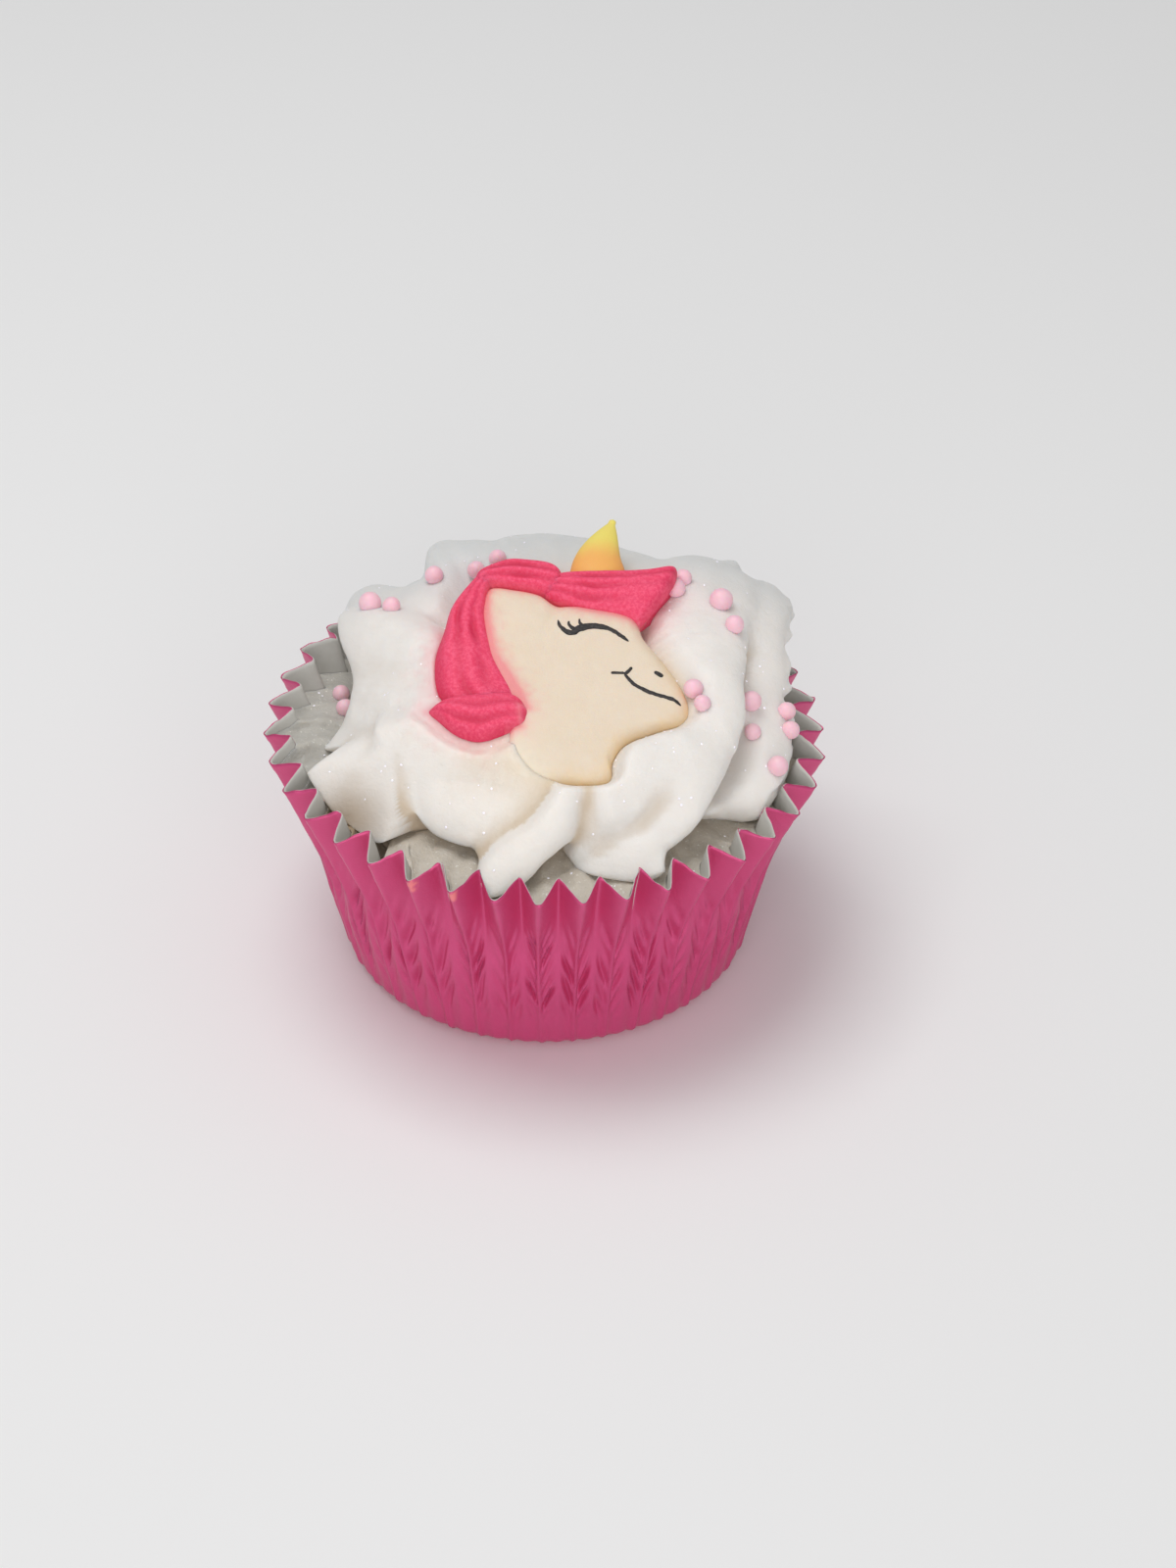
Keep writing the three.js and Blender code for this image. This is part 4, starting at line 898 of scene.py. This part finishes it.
def inside_case(grid):
    """Draws the swirl in, along the radius, to the inner folds of the case below its rim, or to the pleats
    themselves where the tongue at the front has run down into them."""
    x, y, z = np.moveaxis(grid, -1, 0)
    azimuth, far = np.arctan2(y, x), np.hypot(x, y)
    high = np.clip(z + RIM_LEAN * x, 2, RIM_HEIGHT)
    folds = wall_radius(high) - pleat_depth(high) - FOIL - PAPER - 0.5
    folds += 5 * np.clip(z + RIM_LEAN * x - RIM_HEIGHT - PLEAT_RISE - 0.3, 0, None)
    wall = case_wall(azimuth - drift(azimuth - drift(azimuth)), high, COAT_CLEAR, False)
    pleated = np.hypot(wall[..., 0], wall[..., 1]) + 5 * np.clip(z - wall[..., 2] - 0.2, 0, None)
    limit = folds + np.clip(pleated - folds, 0, None) * about(azimuth, TONGUE_TURN, 0.13)
    drawn = np.minimum(1, limit / np.maximum(far, 1))
    return grid * np.stack([drawn, drawn, np.ones_like(drawn)], -1)


def with_ends(values, end):
    """The values of the grid's points, and the same value for the middles of its two fans."""
    return np.append(values, [end, end])


grain = 0.09 * lumps(swirl_grid, 2.6, 71) + 0.06 * lumps(swirl_grid, 1.1, 72)
swirl_grid += swirl_ray * grain[..., None]
swirl_skin = shell(inside_case(tear(swirl_grid, swirl_ray)))

icing = Finish(
    "white_icing", Roughness=0.5, Subsurface_Weight=0.8, Subsurface_Scale=1.5 * MM,
    Subsurface_Radius=(1, 0.9, 0.8),
)  # fmt: skip
# Painted shade: the icing is greyer towards the back.
white = icing.mix(icing.attribute("far"), ICING_WHITE, BACK_SHADE_GREY)
white = icing.mix(icing.noise(3, 3) * 0.5, white, MOTTLED_WHITE)
# Painted shade: the hollows between the folds at the front are a warm tan.
white = icing.mix(icing.attribute("hollow"), white, HOLLOW_SHADE_TAN)
# Painted shadow: the same dark brown on the swirl's lower edge by the gap.
white = icing.mix(icing.attribute("crumbed"), white, GAP_SHADE_BROWN)
pinked = icing.mix(icing.attribute("pink"), white, PINKED_ICING)
icing.drive("Base Color", icing.mix(icing.attribute("cream"), pinked, CREAMED_ICING))
pits = icing.noise(0.9, 2, 0.5).between(0.62, 0.78)
icing.bump(icing.noise(0.6, 4, 0.65) - pits * 0.3, 0.1)

swirl_y, swirl_z = swirl_skin[0][:, 1], swirl_skin[0][:, 2]
near_plane = np.exp(-((with_ends(plane[:, 2], 99) / 3) ** 2))
from_mane, from_face = (with_ends(np.clip(away, 0, None), 9) for away in (to_mane, to_face))
fuzzy = 1 + 0.5 * lumps(swirl_skin[0], 0.7, 76)
make_piece(
    "icing_swirl", swirl_skin, icing, "icing", "icing",
    pink=0.7 * np.exp(-from_mane / 1.1 * fuzzy) * near_plane,
    cream=0.5 * np.exp(-from_face / (0.9 + 3.6 * with_ends(neck, 0))) * near_plane,
    hollow=0.75 * with_ends(hollow, 0) * smoothstep(29, 30, swirl_z) * smoothstep(14, 0, swirl_y),
    far=smoothstep(8, 24, swirl_y),
    crumbed=0.75 * near_gap(swirl_skin[0]),
)  # fmt: skip

# The sugar pearls and the glitter.
# Small pink pearls of pressed sugar and flakes of edible glitter, scattered by hand over the soft icing. The
# pearls have sunk in a little, and the flakes lie on it.

# Where each pearl lies, seen from above, and its diameter.
PEARLS = [
    (-23.3, 14.9, 3), (-20.4, 12.8, 2.4), (-14.7, 18.8, 2.5), (-8.9, 19.6, 2.4), (-6.3, 19.4, 2.4),
    (-27.3, 10.4, 2.3), (-26.7, 6, 2.4), (18.2, 14.4, 2.4), (17.2, 12, 2.7), (23, 10, 3.1),
    (24.6, 5.5, 2.5), (19.5, -6.2, 2.6), (20.5, -8.8, 2.2), (26.7, -2.3, 2.7), (27.1, -6.2, 2.2),
    (31.3, -1, 2.4), (31.7, -3.9, 2.4), (29.9, -11.3, 2.7), (-14, 29.2, 2.5), (4, 31, 2.8),
    (16, 24.6, 2.3), (22, 25.2, 2.4), (-8.5, 28.4, 2.4),
]  # fmt: skip
PEARL_PINK, PEARL_PALE = (250, 200, 213), (250, 206, 218)
PEARL_SUNK = 0.3  # how much of its diameter lies in the icing
icing_tree = skin_tree(*joined([swirl_skin, coat_skin])[:2])


def landed(x, y):
    """The point and the slope of the icing straight below a place, or nothing where there is none."""
    point, normal, _, _ = icing_tree.ray_cast(Vector((x, y, 80)), Vector((0, 0, -1)))
    return point and (np.array(point), np.array(normal))


def pearl_skin(x, y, diameter, seed):
    """A ball, a little uneven, sunk in the icing by part of its diameter along the slope."""
    spot, normal = landed(x, y)
    ball = direction(np.linspace(-1.45, 1.45, 17)[:, None], circle(28))
    size = diameter / 2 * (1 + 0.03 * lumps(ball * 3, 2, seed))
    return shell(spot + normal * diameter * (0.5 - PEARL_SUNK) + ball * size[..., None])


pearl = Finish("pink_pearl", Roughness=0.45, Subsurface_Weight=0.3, Subsurface_Scale=0.5 * MM)
pearl.drive("Base Color", pearl.mix(pearl.noise(1.0, 3), PEARL_PINK, PEARL_PALE))
pearl.bump(pearl.noise(0.25, 3), 0.03)
pearl_skins = joined([pearl_skin(*each, 80 + n) for n, each in enumerate(PEARLS)])
make_piece("sugar_pearls", pearl_skins, pearl, "icing", "icing")

FLAKES, GLITTER_REACH = 170, 33
GLITTER_WHITE, GLITTER_LILAC = (255, 254, 255), (236, 226, 252)
flake_draws = np.random.default_rng(90).uniform(0, 1, (FLAKES, 6))


def flake(draw):
    """A flat six-sided flake, 0.2 to 0.4 mm across, that lies on the icing at a slant."""
    far, turn = GLITTER_REACH * math.sqrt(draw[0]), 2 * math.pi * draw[1]
    spot = landed(far * math.cos(turn), far * math.sin(turn))
    if not spot:
        return None
    normal = spot[1] + (draw[2:5] - 0.5) * 0.9
    normal /= np.linalg.norm(normal)
    first = np.cross(normal, [0.3, 0.9, 0.1])
    first /= np.linalg.norm(first)
    around = np.arange(6)[:, None] * np.pi / 3
    outline = (first * np.cos(around) + np.cross(normal, first) * np.sin(around)) * (0.1 + 0.1 * draw[5])
    levels = np.array([0.01, 0.05])[:, None, None] * normal
    return shell(spot[0] + outline + levels)


# The flakes give off a faint light of their own: painted glints.
glitter = Finish(
    "edible_glitter", Roughness=0.2, Coat_Weight=1.0, Emission_Strength=0.25, Emission_Color=(1, 1, 1, 1)
)
glitter.drive("Base Color", glitter.mix(glitter.noise(2.5), GLITTER_WHITE, GLITTER_LILAC))
flakes = joined([each for each in map(flake, flake_draws) if each])
make_piece("edible_glitter", flakes, glitter, "icing", "icing")

# The light, the floor and the camera.
# A soft studio: a large light high on the left, a larger one low in front, and a pale floor and surroundings.
# Sizes here are in metres, except the camera's.

FLOOR_HALF = 2.0
FLOOR_GREY = (240, 240, 240)
floor_mesh = bpy.data.meshes.new("floor")
floor_corners = [(x * FLOOR_HALF, y * FLOOR_HALF, 0) for x, y in ((-1, -1), (1, -1), (1, 1), (-1, 1))]
floor_mesh.from_pydata(floor_corners, [], [(0, 1, 2, 3)])
floor = bpy.data.objects.new("floor", floor_mesh)
bpy.context.scene.collection.objects.link(floor)
floor_finish = Finish("pale_floor", Roughness=0.9, Base_Color=linear(FLOOR_GREY))
floor_mesh.materials.append(floor_finish.material)

world = bpy.data.worlds.new("studio")
bpy.context.scene.world = world
world.use_nodes = True
world.node_tree.nodes["Background"].inputs["Color"].default_value = (1, 1, 1, 1)
world.node_tree.nodes["Background"].inputs["Strength"].default_value = 0.42


def soft_light(name, place, size, power):
    """A square light, with its power in watts, that faces the cake."""
    lamp = bpy.data.lights.new(name, "AREA")
    lamp.energy, lamp.size = power, size
    made = bpy.data.objects.new(name, lamp)
    made.location = place
    made.rotation_euler = (Vector(place) - Vector((0, 0, 0.03))).to_track_quat("Z", "Y").to_euler()
    bpy.context.scene.collection.objects.link(made)


soft_light("key", (-0.13, 0.07, 0.6), 0.35, 1.63)
soft_light("fill", (0.05, -0.65, 0.2), 0.6, 2.1)

# The camera stands 620 mm from the cake and looks down on it at 37 degrees, as in the photograph.
CAMERA_RISE, CAMERA_FAR = math.radians(37.32), 620
AIM, AIM_UP = (5.63, 0, 18), 4.14  # where it looks, and how far it is then moved up in its own frame
SENSOR, LENS = 36, 106.7
back = Vector((0, -math.cos(CAMERA_RISE), math.sin(CAMERA_RISE)))
above = Vector((0, math.sin(CAMERA_RISE), math.cos(CAMERA_RISE)))
camera = bpy.data.cameras.new("camera")
camera.sensor_width, camera.lens = SENSOR, LENS
camera.clip_start, camera.clip_end = 0.01, 20
holder = bpy.data.objects.new("camera", camera)
holder.location = (Vector(AIM) + back * CAMERA_FAR + above * AIM_UP) * MM
holder.rotation_euler = back.to_track_quat("Z", "Y").to_euler()
bpy.context.scene.collection.objects.link(holder)
bpy.context.scene.camera = holder
bpy.context.scene.view_settings.view_transform = "Standard"
